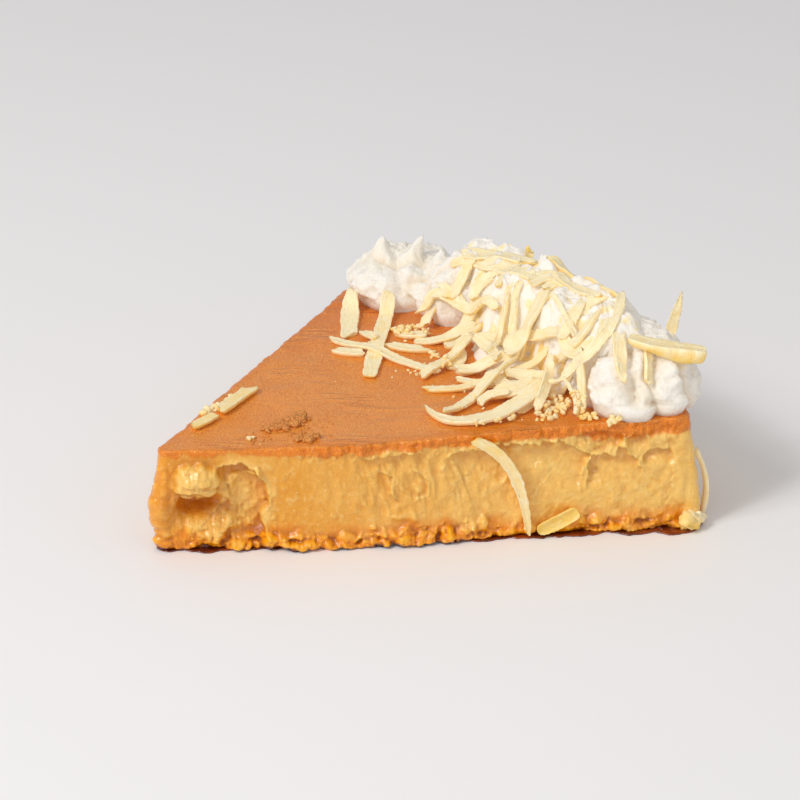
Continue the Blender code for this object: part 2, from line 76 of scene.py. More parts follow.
def smooth_step(value):
    """Zero below 0, one above 1, and 3t^2 - 2t^3 between."""
    clipped = np.clip(value, 0.0, 1.0)
    return clipped * clipped * (3.0 - 2.0 * clipped)


def ramp_up(value, start, length):
    """Zero up to start, one from start + length on, and a smooth step between."""
    return smooth_step((value - start) / length)


def ramp_down(value, end, length):
    """One up to end - length, zero from end on, and a smooth step between."""
    return smooth_step((end - value) / length)


def bell(distance, reach):
    """One at no distance, and e to the minus squared distance, counted in reaches."""
    return np.exp(-(distance / reach)**2)


def bump(along, height, centre, reach):
    """A round swelling: a bell along the cut times a bell up it."""
    return bell(along - centre[0], reach[0]) * bell(height - centre[1], reach[1])


def dome(along, height, centre, reach):
    """A round lump with a steep edge: the top half of an ellipsoid of height one."""
    across = (along - centre[0]) / reach[0]
    up = (height - centre[1]) / reach[1]
    return np.sqrt(np.clip(1.0 - across**2 - up**2, 0.0, 1.0))


def grain(points, size, seed):
    """Smooth random values from -1 to 1: one for each corner of cubes of that size, blended
    inside every cube by a smooth step along each axis."""
    table = np.random.default_rng(seed).uniform(-1.0, 1.0, (LATTICE,) * 3)
    cell = np.asarray(points) / size
    low = np.floor(cell).astype(int)
    share = smooth_step(cell - low)
    total = np.zeros(cell.shape[:-1])
    for corner in itertools.product((0, 1), repeat=3):
        weight = np.prod(np.where(np.array(corner), share, 1.0 - share), axis=-1)
        index = (low + corner) % LATTICE
        total += weight * table[index[..., 0], index[..., 1], index[..., 2]]
    return total


def rough(points, size, seed, octaves=3):
    """Grain with finer grain added: each octave is half the size and half the height."""
    return sum(grain(points, size / 2**k, seed + k) / 2**k for k in range(octaves))


def billow(points, size, seed):
    """Rounded clumps with sharp creases between them: absolute grain of three sizes, added."""
    return sum(np.abs(grain(points, size / 2**k, seed + k)) / 2**k for k in range(3))


def flat_points(*columns):
    """Columns of numbers side by side as points, with a zero where a third is missing."""
    arrays = np.broadcast_arrays(*columns)
    if len(arrays) == 2:
        arrays = [*arrays, np.zeros_like(arrays[0])]
    return np.stack(arrays, axis=-1)


def raised(flat, height):
    """Places seen from above as points, with one height for all or one for each."""
    height = np.broadcast_to(height, flat.shape[:-1])
    return np.concatenate([flat, height[..., None]], axis=-1)


def picture_place(points):
    """Where points show in the camera's picture."""
    offset = points - VIEW_PLACE
    depth = offset @ VIEW_FORWARD
    u = VIEW_SIZE / 2 + VIEW_FOCAL * (offset @ VIEW_RIGHT) / depth
    v = VIEW_SIZE / 2 + VIEW_FOCAL * (offset @ VIEW_DOWN) / depth
    return u, v


def near_stroke(u, v, start, end, reach):
    """One on a straight stroke of the picture, falling as a bell away from it."""
    along = np.subtract(end, start)
    share = ((u - start[0]) * along[0] + (v - start[1]) * along[1]) / (along @ along)
    share = np.clip(share, 0.0, 1.0)
    distance = np.hypot(u - start[0] - share * along[0], v - start[1] - share * along[1])
    return bell(distance, reach)


def box_blur(grid, reach):
    """Mean of a grid over reach rows and columns either way, wrapping round the columns."""
    for axis, mode in ((0, "edge"), (1, "wrap")):
        widths = [(0, 0), (0, 0)]
        widths[axis] = (reach, reach)
        padded = np.pad(grid, widths, mode=mode)
        windows = np.lib.stride_tricks.sliding_window_view(padded, 2 * reach + 1, axis=axis)
        grid = windows.mean(axis=-1)
    return grid


# ------------------------ meshes

def grid_quads(rows, columns, wrap):
    """Corner numbers of the quads of a grid of points, closed round its columns if wrap."""
    index = np.arange(rows * columns).reshape(rows, columns)
    if wrap:
        index = np.concatenate([index, index[:, :1]], axis=1)
    corners = (index[:-1, :-1], index[:-1, 1:], index[1:, 1:], index[1:, :-1])
    return np.stack(corners, axis=-1).reshape(-1, 4)


def pole_triangles(ring, pole, flipped):
    """Triangles from every side of a ring of corner numbers to a pole."""
    ahead = np.roll(ring, -1)
    sides = (ahead, ring) if flipped else (ring, ahead)
    return np.stack([*sides, np.full(len(ring), pole)], axis=-1)


def add_object(name, data):
    """A new object in the scene that holds a mesh, a lamp or a camera."""
    made = bpy.data.objects.new(name, data)
    bpy.context.scene.collection.objects.link(made)
    return made


def add_piece(name, surface, marks, material, slot, nodes):
    """A smooth mesh object that rides on the slice's body.

    surface is its points in millimetres, quads and triangles; marks are named values per
    point, which the materials read; nodes are the solids that the piece stands for.
    """
    points, quads, triangles = surface
    mesh = bpy.data.meshes.new(name)
    faces = len(quads) + len(triangles)
    corners = np.concatenate([np.ravel(quads), np.ravel(triangles)]).astype(np.int32)
    counts = np.concatenate([np.full(len(quads), 4), np.full(len(triangles), 3)])
    mesh.vertices.add(len(points))
    mesh.vertices.foreach_set("co", (np.asarray(points) * MM).ravel().astype(np.float32))
    mesh.loops.add(len(corners))
    mesh.loops.foreach_set("vertex_index", corners)
    mesh.polygons.add(faces)
    mesh.polygons.foreach_set("loop_start", np.concatenate([[0], counts.cumsum()[:-1]]))
    mesh.polygons.foreach_set("use_smooth", np.ones(faces, dtype=bool))
    for mark, values in marks.items():
        layer = mesh.attributes.new(mark, "FLOAT", "POINT")
        layer.data.foreach_set("value", np.asarray(values, dtype=np.float32).ravel())
    mesh.update(calc_edges=True)
    mesh.validate()
    mesh.materials.append(material)
    piece = add_object(name, mesh)
    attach(piece, BODY)
    if nodes:
        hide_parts(*nodes)


def closed_surface(rings, low_pole, high_pole):
    """Points and faces of a stack of closed rings with a pole at each end.

    rings is an array of rows x columns x 3 that runs anticlockwise seen from its high end.
    """
    rows, columns = rings.shape[:2]
    points = np.concatenate([rings.reshape(-1, 3), [low_pole, high_pole]])
    quads = grid_quads(rows, columns, wrap=True)
    first = np.arange(columns)
    last = first + (rows - 1) * columns
    low = pole_triangles(first, rows * columns, flipped=True)
    high = pole_triangles(last, rows * columns + 1, flipped=False)
    return points, quads, np.concatenate([low, high])


def with_poles(grid, low, high):
    """Values of a grid of points in mesh order, followed by those of its two poles."""
    return np.concatenate([np.ravel(grid), [low, high]])


# ------------------------ materials

class Wire:
    """A shader socket that takes part in sums: each operator adds its own Math node."""

    def __init__(self, finish, socket):
        self.finish = finish
        self.socket = socket

    def math(self, operation, *values):
        """A Math node of an operation, fed with this socket and the other values in order."""
        inputs = dict(enumerate((self, *values)))
        return self.finish.node("ShaderNodeMath", {"operation": operation}, inputs)

    def __add__(self, other):
        return self.math("ADD", other)

    def __sub__(self, other):
        return self.math("SUBTRACT", other)

    def __rsub__(self, other):
        return self.math("MULTIPLY_ADD", -1.0, other)

    def __mul__(self, other):
        return self.math("MULTIPLY", other)

    __radd__, __rmul__ = __add__, __mul__

    def steps(self, low, high):
        """Zero up to low, one from high on and a smooth rise between; low may be the larger,
        which turns the rise round."""
        settings = {"interpolation_type": "SMOOTHSTEP"}
        inputs = {"Value": self, "From Min": low, "From Max": high}
        return self.finish.node("ShaderNodeMapRange", settings, inputs)


class Finish:
    """A Principled material that is built up node by node."""

    def __init__(self, name, constants):
        """constants are socket values that hold all over the surface."""
        self.material = bpy.data.materials.new(name)
        self.material.use_nodes = True
        self.tree = self.material.node_tree
        self.shader = self.tree.nodes["Principled BSDF"]
        for socket, value in constants.items():
            self.shader.inputs[socket].default_value = value
        self.place = self.node("ShaderNodeTexCoord", {}, {}, "Object")

    def node(self, kind, settings, inputs, output=0):
        """A new node: its settings first, then the values or wires of its sockets."""
        made = self.tree.nodes.new(kind)
        for setting, value in settings.items():
            setattr(made, setting, value)
        for key, value in inputs.items():
            if isinstance(value, Wire):
                self.tree.links.new(value.socket, made.inputs[key])
            else:
                made.inputs[key].default_value = value
        return Wire(self, made.outputs[output])

    def mark(self, name):
        """A value that the mesh holds at every point."""
        return self.node("ShaderNodeAttribute", {"attribute_name": name}, {}, "Fac")

    def stretched(self, stretch, turn):
        """Object coordinates turned about Z and then stretched along each axis."""
        settings = {"vector_type": "TEXTURE"}
        inputs = {"Vector": self.place, "Rotation": (0.0, 0.0, turn), "Scale": stretch}
        return self.node("ShaderNodeMapping", settings, inputs)

    def noise(self, size, detail=2.0, roughness=0.5, place=None):
        """Noise from 0 to 1 whose blotches are about size millimetres across."""
        inputs = {"Vector": place or self.place, "Scale": 1.0 / (size * MM),
                  "Detail": detail, "Roughness": roughness}
        return self.node("ShaderNodeTexNoise", {}, inputs, "Fac")

    def blend(self, share, low, high):
        """Colour low where share is zero and colour high where it is one."""
        settings = {"data_type": "RGBA", "clamp_factor": True}
        colours = [value if isinstance(value, Wire) else (*value, 1.0) for value in (low, high)]
        return self.node("ShaderNodeMix", settings, {0: share, 6: colours[0], 7: colours[1]}, 2)

    def wire_up(self, colour, roughness, layers):
        """Link the colour, the roughness and a chain of bumps of (height, depth in mm)."""
        normal = {}
        for height, depth in layers:
            inputs = {"Height": height, "Distance": depth * MM, "Strength": 1.0, **normal}
            normal = {"Normal": self.node("ShaderNodeBump", {}, inputs)}
        # The colour also feeds the emission: a painted glow wherever the finish sets an emission
        # strength
        sockets = {"Base Color": colour, "Emission Color": colour, "Roughness": roughness}
        for socket, value in {**sockets, **normal}.items():
            self.tree.links.new(value.socket, self.shader.inputs[socket])
        return self.material


def paint(red, green, blue):
    """A colour given as a screen shows it, 0 to 255, as the linear values that shaders use."""
    screen = np.array([red, green, blue]) / 255.0
    linear = np.where(screen <= 0.04045, screen / 12.92, ((screen + 0.055) / 1.055)**2.4)
    return tuple(float(value) for value in linear)


# ------------------------ settings

def in_millimetres(settings, *names):
    """The named lengths of a group of settings."""
    return [getattr(settings, name) / MM for name in names]


def length(name, description, millimetres):
    """A property that holds a length."""
    return FloatProperty(name=name, description=description, default=millimetres * MM,
                         min=0.0, unit="LENGTH", precision=5)


def colour(name, description, screen):
    """A property that holds a colour, given as a screen shows it."""
    return FloatVectorProperty(name=name, description=description, default=paint(*screen),
                               min=0.0, max=1.0, subtype="COLOR")


def power(name, description, watts):
    """A property that holds a lamp's power."""
    return FloatProperty(name=name, description=description, default=watts, unit="POWER")


class FlanSlice(bpy.types.PropertyGroup):
    """Sizes of the custard wedge."""
    radius: length("Radius", "Distance from the sharp tip to the rim", 120.0)
    half_angle: FloatProperty(name="Half angle", default=math.radians(30), subtype="ANGLE")
    tip_height: length("Tip height", "Height of the top at the tip", 24.0)
    rim_height: length("Rim height", "Height of the top at the rim", 27.5)
    lean: length("Lean", "How far the rim wall's foot stands outside its top", 3.4)
    corner: length("Corner", "Radius of the three upright corners", 2.0)
    edge: length("Edge", "Radius of the edge round the top", 0.6)


class FlanCream(bpy.types.PropertyGroup):
    """Sizes of the piped cream."""
    radius: length("Radius", "Distance from the tip to the ridge's middle line", 108.3)
    half_width: length("Half width", "Half the width of the ridge", 12.6)
    height: length("Height", "Height of the ridge over the caramel", 14.5)
    foot: length("Foot", "Height of the ridge's widest line over the caramel", 2.4)
    folds: IntProperty(name="Folds round the ridge", default=26)


class FlanCheese(bpy.types.PropertyGroup):
    """Sizes of the grated cheese."""
    width: length("Width", "Usual width of a shred", 2.7)
    thickness: length("Thickness", "Usual thickness of a shred", 1.25)
    fill: IntProperty(name="Shreds under those that show", default=16)
    crumbs: IntProperty(name="Loose crumbs", default=40)


class FlanColours(bpy.types.PropertyGroup):
    """Colours of the food."""
    skin: colour("Skin", "Dull top of the caramel", (250, 155, 56))
    amber: colour("Amber", "Moist caramel along the edges", (234, 128, 0))
    custard: colour("Custard", "Cut custard", (230, 157, 36))
    pale: colour("Pale custard", "Raised and torn custard", (250, 205, 112))
    # Painted shade: the colour that darkens the cut's hollows and the place under the torn lump
    hollow: colour("Hollows", "Hollows of the cut", (204, 112, 6))
    foot: colour("Foot", "Soaked custard along the base", (234, 140, 0))
    syrup: colour("Syrup", "Dark syrup under the slice", (92, 30, 8))
    cream: colour("Cream", "Whipped cream", (246, 240, 230))
    cheese: colour("Cheese", "Pale face of the cheese", (254, 231, 180))
    # Deep yellow of the cheese; it also serves as painted shade under the shreds and crumbs and in
    # the bed's hollows
    cheese_yellow_and_shade: colour("Cheese shade", "Deep yellow of the cheese's underside", (252, 210, 108))
    crumb: colour("Brown crumb", "Burnt caramel crumbs", (190, 104, 28))


class FlanStage(bpy.types.PropertyGroup):
    """Light and floor."""
    floor: colour("Floor", "Plain floor", (244, 243, 244))
    sky: FloatProperty(name="Strength of the even light", default=0.50)
    key: power("Key", "Power of the large soft light", 7.5)
    core: power("Core", "Power of the key light's bright middle", 2.4)
    glint: power("Glint", "Power of the light that makes the cut shine", 1.3)
    fill: power("Fill", "Power of the light by the camera", 0.4)


# ------------------------ the wedge

def run_of_points(start, end, first, last, count):
    """Places from start to end and facings from first to last, both without their last."""
    share = np.arange(count) / count
    return start + (end - start) * share[:, None], first + (last - first) * share


class Wedge:
    """The custard's form in millimetres, worked out from its settings."""

    # Its middle lies this share of the radius past the origin
    middle_share = 0.155
    # Power of the reach in the top's rise to the rim
    top_curve = 1.5
    # Heights of the top's slow waves, its ripples and the torn rise along the back cut
    top_depths = (0.35, 0.13, 0.9)
    # How far the rim wall waves, the tip is torn and bulges, and the foot is tucked in
    rim_waves = 0.5
    tip_torn = 1.1
    tip_bulge = 2.6
    foot_tuck = 1.2

    def __init__(self, sizes):
        self.radius, self.tip_height, self.rim_height, self.lean, self.corner, self.edge = (
            in_millimetres(sizes, "radius", "tip_height", "rim_height", "lean", "corner", "edge"))
        self.half_angle = sizes.half_angle
        self.tip = np.array([-self.radius / 2, 0.0])
        self.middle = np.array([self.middle_share * self.radius, 0.0])
        cosine, sine = math.cos(self.half_angle), math.sin(self.half_angle)
        self.front_along = np.array([cosine, -sine])
        self.front_out = np.array([-sine, -cosine])
        self.back_along = np.array([cosine, sine])
        self.back_out = np.array([-sine, cosine])

    def polar(self, radius, angle):
        """Places at a radius and an angle about the sharp tip."""
        radius, angle = np.broadcast_arrays(radius, angle)
        return self.tip + np.stack([radius * np.cos(angle), radius * np.sin(angle)], axis=-1)

    def from_tip(self, flat):
        """Distance of each place from the sharp tip."""
        return np.linalg.norm(flat - self.tip, axis=-1)

    def top_height(self, flat):
        """Height of the top: tip height plus the rise to the rim times reach to the 1.5."""
        reach = self.from_tip(flat) / self.radius
        return self.tip_height + (self.rim_height - self.tip_height) * reach**self.top_curve

    def top_waves(self, flat):
        """Unevenness of the top: slow waves, ripples, and a torn rise along the back cut."""
        points = raised(flat, 0.0)
        waves, ripples, rise = self.top_depths
        from_back = (flat - self.tip) @ -self.back_out
        torn = rise * (billow(points, 2.6, 7) - 0.3) * ramp_down(from_back, 2.2, 1.6)
        return waves * grain(points, 17.0, 3) + ripples * rough(points, 5.0, 5) + torn

    def top_surface(self, flat):
        """Height of the top with its waves."""
        return self.top_height(flat) + self.top_waves(flat)

    def outline(self, front, rim, back, corner):
        """Places round the wedge inset by its corner radius, and the way each faces.

        The counts are columns of points on the front cut, the rim, the back cut and each of
        the rounded corners. It runs anticlockwise from the middle of the tip.
        """
        inset = self.radius - self.corner
        turn = self.half_angle - math.asin(self.corner / inset)
        tip = self.tip + [self.corner / math.sin(self.half_angle), 0.0]
        low, high = self.polar(inset, -turn), self.polar(inset, turn)
        facing_front = 1.5 * math.pi - self.half_angle
        facing_back = 2.5 * math.pi + self.half_angle
        facing_rim = math.tau + np.linspace(-turn, turn, rim + 1)
        runs = [
            run_of_points(tip, tip, math.pi, facing_front, corner),
            run_of_points(tip, low, facing_front, facing_front, front),
            run_of_points(low, low, facing_front, facing_rim[0], corner),
            (self.polar(inset, facing_rim[:-1]), facing_rim[:-1]),
            run_of_points(high, high, facing_rim[-1], facing_back, corner),
            run_of_points(high, tip, facing_back, facing_back, back),
            run_of_points(tip, tip, facing_back, math.tau + math.pi, corner),
        ]
        places, facings = (np.concatenate(parts) for parts in zip(*runs))
        return places, np.stack([np.cos(facings), np.sin(facings)], axis=-1)

    def shares(self, outward):
        """How far each direction belongs to the front cut, the back cut and the rim."""
        front = ramp_up(outward @ self.front_out, 0.35, 0.65)
        back = ramp_up(outward @ self.back_out, 0.35, 0.65)
        return front, back, ramp_up(outward[..., 0], 0.0, 0.5)

    def detail(self, places, outward, height):
        """Relief of the sides: that of each cut, which fades at the tip's rounded corner, the
        rim's slow waves, the torn tip, the foot's clumps and a fine grain all over."""
        front, back, rim = self.shares(outward)
        offsets, from_tip = places - self.tip, self.from_tip(places)
        surface = raised(places + outward * self.corner, height)
        waves = self.rim_waves * rough(surface, 9.0, 21) * ramp_up(height, 0.0, 4.0)
        near_tip = bell(from_tip, 6.0)
        torn = self.tip_torn * near_tip * (billow(surface, 2.3, 67) - 0.5)
        torn = torn * ramp_down(height, 21.0, 1.0)
        at_corner = bell(from_tip - 2 * self.corner, 1.6)
        cuts = (front * front_relief(offsets @ self.front_along, height)
                + back * back_relief(offsets @ self.back_along, height))
        clumps = foot_clumps(surface) * (1 - 0.8 * near_tip)
        fine = 0.10 * rough(surface, 1.5, 31) + 0.05 * grain(surface, 0.55, 35)
        return cuts * (1 - 0.85 * at_corner) + rim * waves + torn + clumps + fine

    def wall(self, places, outward, height, detail):
        """Points of the side: its detail, the rim's lean and the tip's bulge stand outside
        the sharp wedge, and the foot's tuck lies inside it."""
        rim = self.shares(outward)[-1]
        tip = ramp_up(-outward[..., 0], 0.1, 0.9) * bell(self.from_tip(places) - 4.0, 3.5)
        bulge = self.tip_bulge * bell(height - 10.0, 8.0)
        lean = self.lean * (1.0 - height / self.top_height(places))
        tuck = self.foot_tuck * bell(height, 0.5)
        reach = self.corner + detail + rim * lean + tip * bulge - tuck
        return raised(places + outward * reach[..., None], height)


# Lumps of the front cut: (along, height) of the middle, reach each way, and how far out
TORN_LUMP = (
    ((9.0, 17.5), (5.2, 3.7), 3.9),
    ((10.9, 14.6), (2.8, 2.4), 3.7),
    ((6.0, 16.3), (2.4, 2.3), 2.9),
    ((12.8, 17.6), (2.0, 2.4), 2.7),
    ((9.9, 12.8), (1.3, 1.1), 3.1),
    ((7.9, 13.8), (1.6, 1.2), 3.2),
    ((13.1, 14.8), (1.1, 1.0), 2.4),
    ((5.5, 18.4), (1.6, 1.3), 2.6),
    ((8.0, 19.7), (1.9, 1.1), 2.7),
    ((11.1, 19.1), (1.6, 1.2), 2.8),
)
SMALL_LUMPS = (
    ((16.6, 16.0), (0.9, 0.7), 0.9),
    ((18.4, 17.0), (1.3, 0.6), 0.8),
    ((20.9, 17.9), (1.2, 0.6), 1.0),
    ((22.5, 17.7), (1.1, 1.2), 1.5),
    ((23.1, 18.6), (0.7, 0.8), 1.5),
    ((13.0, 9.6), (1.1, 0.9), 0.8),
    ((16.3, 6.8), (1.0, 1.7), 1.0),
    ((18.2, 10.4), (0.9, 0.7), 0.6),
    ((21.3, 6.2), (1.0, 0.9), 0.8),
    ((24.4, 11.3), (0.9, 1.1), 0.7),
    ((39.1, 7.8), (0.8, 0.6), 0.5),
    ((41.2, 23.0), (0.9, 0.7), 0.7),
    ((45.3, 22.6), (1.0, 0.7), 0.6),
    ((51.4, 22.9), (1.6, 0.9), 0.8),
    ((56.3, 23.0), (1.1, 0.8), 0.8),
    ((59.1, 23.1), (1.3, 0.8), 0.8),
    ((64.8, 21.7), (0.9, 0.6), 0.6),
    ((66.0, 19.8), (0.7, 0.6), 0.5),
    ((69.6, 16.2), (0.6, 0.5), 0.5),
    ((72.3, 17.1), (0.5, 0.4), 0.5),
    ((75.7, 16.0), (0.4, 0.4), 0.4),
    ((54.1, 7.5), (2.2, 0.7), 0.6),
    ((57.5, 7.2), (0.9, 1.2), 0.6),
    ((63.4, 18.0), (0.7, 1.4), 0.5),
    ((73.8, 11.4), (0.6, 0.5), 0.4),
    ((104.9, 21.2), (0.9, 0.9), 1.1),
)
FOOT_CRAGS = (
    ((32.8, 0.4), (4.2, 2.5), 3.0),
    ((28.6, 1.2), (2.1, 1.7), 2.0),
    ((37.2, 1.2), (3.0, 1.7), 1.7),
    ((19.3, 1.0), (2.3, 1.6), 2.2),
    ((25.0, 2.6), (2.3, 1.9), 1.0),
    ((42.2, 1.8), (2.4, 2.3), 1.7),
    ((46.6, 0.8), (2.2, 1.5), 1.6),
    ((51.3, 2.0), (1.0, 2.3), 1.3),
    ((55.6, 1.2), (2.6, 2.0), 1.8),
    ((59.6, 1.2), (2.6, 2.2), 1.7),
    ((65.2, 2.6), (0.9, 1.6), 1.2),
    ((67.3, 2.2), (0.8, 1.4), 1.1),
    ((68.6, 1.8), (1.9, 2.0), 1.5),
    ((71.0, 3.0), (0.9, 1.2), 0.9),
    ((104.0, 0.9), (4.6, 1.6), 1.3),
)
# Edges of torn layers on the cuts: a line of (along, height) places whose right-hand side lies
# deeper, how deep, how far that fades out, and how high its lip stands
TORN_EDGES = (
    (((13.2, 19.2), (15, 19.9), (18.4, 20.4), (20.5, 20.3), (22.4, 19.3), (23.4, 17.6),
      (24.2, 16.3), (25.3, 13.8), (25.5, 11.6), (25, 10.1), (23.8, 8.3), (23.8, 6.4),
      (24.9, 3.9), (26, 2.9)), 1.7, 9.0, 0.22),
    (((63, 20.0), (66, 21.6), (69, 22.2), (75, 23.0), (81, 22.4), (85.8, 21.6), (87.8, 22.7),
      (90.1, 23.2), (93, 20.9), (97.1, 18.9), (95.8, 17.7), (95.2, 14), (96.2, 10.2)),
     0.8, 10.0, 0.40),
    (((93.8, 22.8), (94.6, 24.3), (98.6, 24.9), (103.8, 23.8), (104.4, 22.6), (103.1, 20.5),
      (99.3, 19.7), (96.5, 19.2)), 0.7, 4.0, 0.25),
    (((96.9, 9.0), (96.4, 14), (97.0, 17.5), (98, 19), (102.2, 19.1), (103.3, 20.5),
      (104.8, 21), (106, 19.1), (108.3, 17.4), (108.4, 15.9), (108.8, 11)), 0.9, 3.6, 0.40),
    (((108.7, 15.9), (109.2, 18), (110.5, 20.1), (114, 20), (115.1, 20.5)), 0.55, 2.6, 0.30),
    (((104.7, 22.3), (107.3, 23.7), (109.9, 22.6), (110.8, 21)), 0.5, 3.0, 0.25),
    (((76.5, 18.6), (79, 17.2), (78.4, 14.5), (76.6, 12.5)), 0.3, 3.0, 0.20),
    (((44, 21.5), (50, 21.9), (55, 22.3), (61, 22.0)), 0.5, 4.0, 0.25),
    (((48.6, 19), (52.5, 16.5), (52.0, 12.5), (54.5, 10.0)), 0.4, 3.0, 0.25),
    (((56.5, 18.5), (60.5, 16.0), (60.0, 12.0), (57.0, 10.5)), 0.4, 3.0, 0.25),
)
BACK_EDGES = (
    (((10, 13), (19, 15), (27, 20), (41, 18), (50, 21), (55, 15), (57, 8)), 0.45, 9.0, 0.3),
    (((62, 17), (66, 14), (69, 9)), 0.25, 4.0, 0.25),
    (((74, 21), (84, 22), (88, 19), (98, 20), (101, 13), (100, 7)), 0.5, 8.0, 0.3),
)
# Broad swellings in the same form as the lumps: the hollow under the front's torn lump and the
# mound at its foot, and the smear and the hollow of the back
FRONT_SWELLINGS = (
    ((9.8, 10.6), (5.0, 3.2), -4.8),
    ((11.2, 6.0), (4.4, 2.6), 1.5),
)
BACK_SWELLINGS = (
    ((55, 14), (26, 8), 0.8),
    ((84, 11), (9, 5), -1.6),
)
# Parts of the front cut, as (along, height) of the middle and reach each way: where the knife
# dragged, and where it is torn most
DRAGGED_PART = ((55, 15), (15, 8))
TORN_PART = ((16.0, 9.5), (9, 8))
# How far out the front cut's belly stands, and over which length
BELLY = 2.6
BELLY_LENGTH = 100.0
# Where the browned crust by the rim begins along the front cut, and how thick it is
CRUST_START = 115.1
CRUST = 0.45
# Torn edges are this much deeper than their rows say
TORN_DEPTH = 1.6
# The random crags along the foot of each cut
CRAG_SEED = 23
CRAG_COUNT = 46
CRAG_LENGTH = 118.0


def line_distance(along, height, line):
    """Distance to a broken line, less than nothing on its right-hand side, and how far
    along the line its nearest place is, from 0 to 1."""
    best = np.full(np.shape(along), 1e9)
    signed, progress = best.copy(), np.zeros_like(best)
    for number, (start, end) in enumerate(zip(line[:-1], line[1:])):
        run = np.subtract(end, start)
        share = ((along - start[0]) * run[0] + (height - start[1]) * run[1]) / (run @ run)
        share = np.clip(share, 0.0, 1.0)
        across, up = along - start[0] - share * run[0], height - start[1] - share * run[1]
        distance = np.hypot(across, up)
        turn = (run[0] * up - run[1] * across) / np.hypot(*run)
        side = np.where(turn < 0, -1.0, 1.0)
        rank = distance - 0.001 * np.abs(turn)
        closer = rank < best
        best = np.where(closer, rank, best)
        signed = np.where(closer, distance * side, signed)
        progress = np.where(closer, (number + share) / (len(line) - 1), progress)
    return signed, progress


def torn_edges(along, height, rows):
    """Layers torn off a cut: beyond each edge the surface drops by its depth within 0.45 mm
    and comes back as a bell, and the edge itself stands up as a thin lip."""
    surface = flat_points(along, height)
    wobble = 0.45 * rough(surface, 1.5, 51) + 0.6 * grain(surface, 4.5, 55)
    ragged = 0.45 + 0.9 * np.abs(grain(surface, 2.0, 56))
    relief = np.zeros(np.shape(along))
    for line, depth, fade, lip in rows:
        signed, progress = line_distance(along, height, line)
        signed = signed + wobble
        ends = ramp_up(progress, 0.0, 0.16) * ramp_down(progress, 1.0, 0.16)
        inside = smooth_step(-signed / 0.45 + 0.3) * bell(np.maximum(-signed, 0), fade)
        lifted = lip * ragged * bell(signed - 0.1, 0.42)
        relief += TORN_DEPTH * ends * (lifted - depth * inside)
    return relief


def lumps(along, height, rows):
    """The highest of several domes at every point."""
    relief = np.zeros(np.shape(along))
    for centre, reach, out in rows:
        relief = np.maximum(relief, out * dome(along, height, centre, reach))
    return relief


def swellings(along, height, rows):
    """Several round swellings and hollows, added."""
    return sum(out * bump(along, height, centre, reach) for centre, reach, out in rows)


def scattered_crags(seed):
    """Random rows for lumps along the foot of a cut, lowest where they are largest."""
    generator = np.random.default_rng(seed)
    middles = np.linspace(2.0, CRAG_LENGTH, CRAG_COUNT) + generator.uniform(-1.2, 1.2, CRAG_COUNT)
    rows = []
    for middle in middles:
        size = generator.uniform(0.5, 1.8)
        height = generator.uniform(0.2, 4.6) * (1.0 - size / 3.0)
        rows.append(((middle, height), (size * generator.uniform(0.8, 1.5), size),
                     size * generator.uniform(0.35, 0.7)))
    return tuple(rows)


FRONT_CRAGS = FOOT_CRAGS + scattered_crags(CRAG_SEED)
BACK_CRAGS = scattered_crags(CRAG_SEED + 1)


def foot_clumps(surface):
    """Crumbly clumps round the foot, up to a ragged border 2 to 6 mm high."""
    flat = surface * [1.0, 1.0, 0.0]
    border = 4.1 + 2.4 * grain(flat, 6.0, 57) + 1.5 * grain(flat, 2.0, 58)
    return ramp_down(surface[..., 2], border, 1.6) * (1.9 * billow(surface, 3.2, 59) - 0.5)


def front_relief(along, height):
    """How far the front cut stands out.

    A broad belly, the torn lump near the tip with the hollow under it, the edges of torn
    layers, streaks where the knife dragged, beads under the caramel, the notched crust by
    the rim, the crags along the foot, and clumps that are coarse where the cut is torn.
    """
    surface = flat_points(along, height)
    belly = BELLY * np.sin(np.pi * np.clip(along / BELLY_LENGTH, 0.0, 1.0))**2
    across = along + 0.55 * rough(surface, 2.4, 41)
    up = height + 0.6 * rough(surface, 2.2, 42)
    lump = lumps(across, up, TORN_LUMP)
    knobs = 0.75 * (billow(surface, 1.9, 43) - 0.5) * ramp_up(lump, 0.0, 1.2)
    drag = flat_points(along * 1.1 + height * 0.25, height * 0.34)
    streaks = 0.30 - 0.95 * np.abs(rough(drag, 2.6, 47))
    streaks = streaks * bump(along, height, *DRAGGED_PART)
    dents = 0.34 * rough(surface, 2.7, 63) * ramp_up(along, 58.0, 20.0)
    notches = 1.1 * grain(surface, 1.3, 49) + 0.5 * grain(surface, 0.8, 50)
    crust = CRUST * ramp_up(along - notches, CRUST_START, 0.5) * ramp_up(height, 5.0, 3.0)
    crags = 0.75 * lumps(across, up, FRONT_CRAGS)
    beads = ramp_up(height, 20.4, 1.4) * ramp_up(along, 26.0, 8.0)
    coarse = rough(surface, 2.0, 61) * 0.35 + 1.3 * (billow(surface, 1.9, 65) - 0.5)
    coarse = coarse * (0.05 + 0.75 * bump(along, height, *TORN_PART) + 0.45 * beads)
    return (belly + lump + knobs + streaks + dents + crust + crags + coarse
            + swellings(along, height, FRONT_SWELLINGS) + swellings(across, up, SMALL_LUMPS)
            + torn_edges(along, height, TORN_EDGES))


def back_relief(along, height):
    """How far the back cut stands out: a shallow smear, torn layers, streaks and crags."""
    streaks = 0.35 * rough(flat_points(along, height * 0.4), 2.8, 71)
    wobble = 0.5 * rough(flat_points(along, height), 2.4, 73)
    crags = 0.7 * lumps(along + wobble, height + wobble, BACK_CRAGS)
    return (swellings(along, height, BACK_SWELLINGS) + streaks + crags
            + torn_edges(along, height, BACK_EDGES))


def amber_depth(along):
    """How far down a cut the caramel reaches: thin by the tip, thickest near the rim."""
    return 1.3 + 1.0 * ramp_up(along, 12.0, 28.0) + 2.2 * bell(along - 108.0, 14.0)


# ------------------------ the piped cream

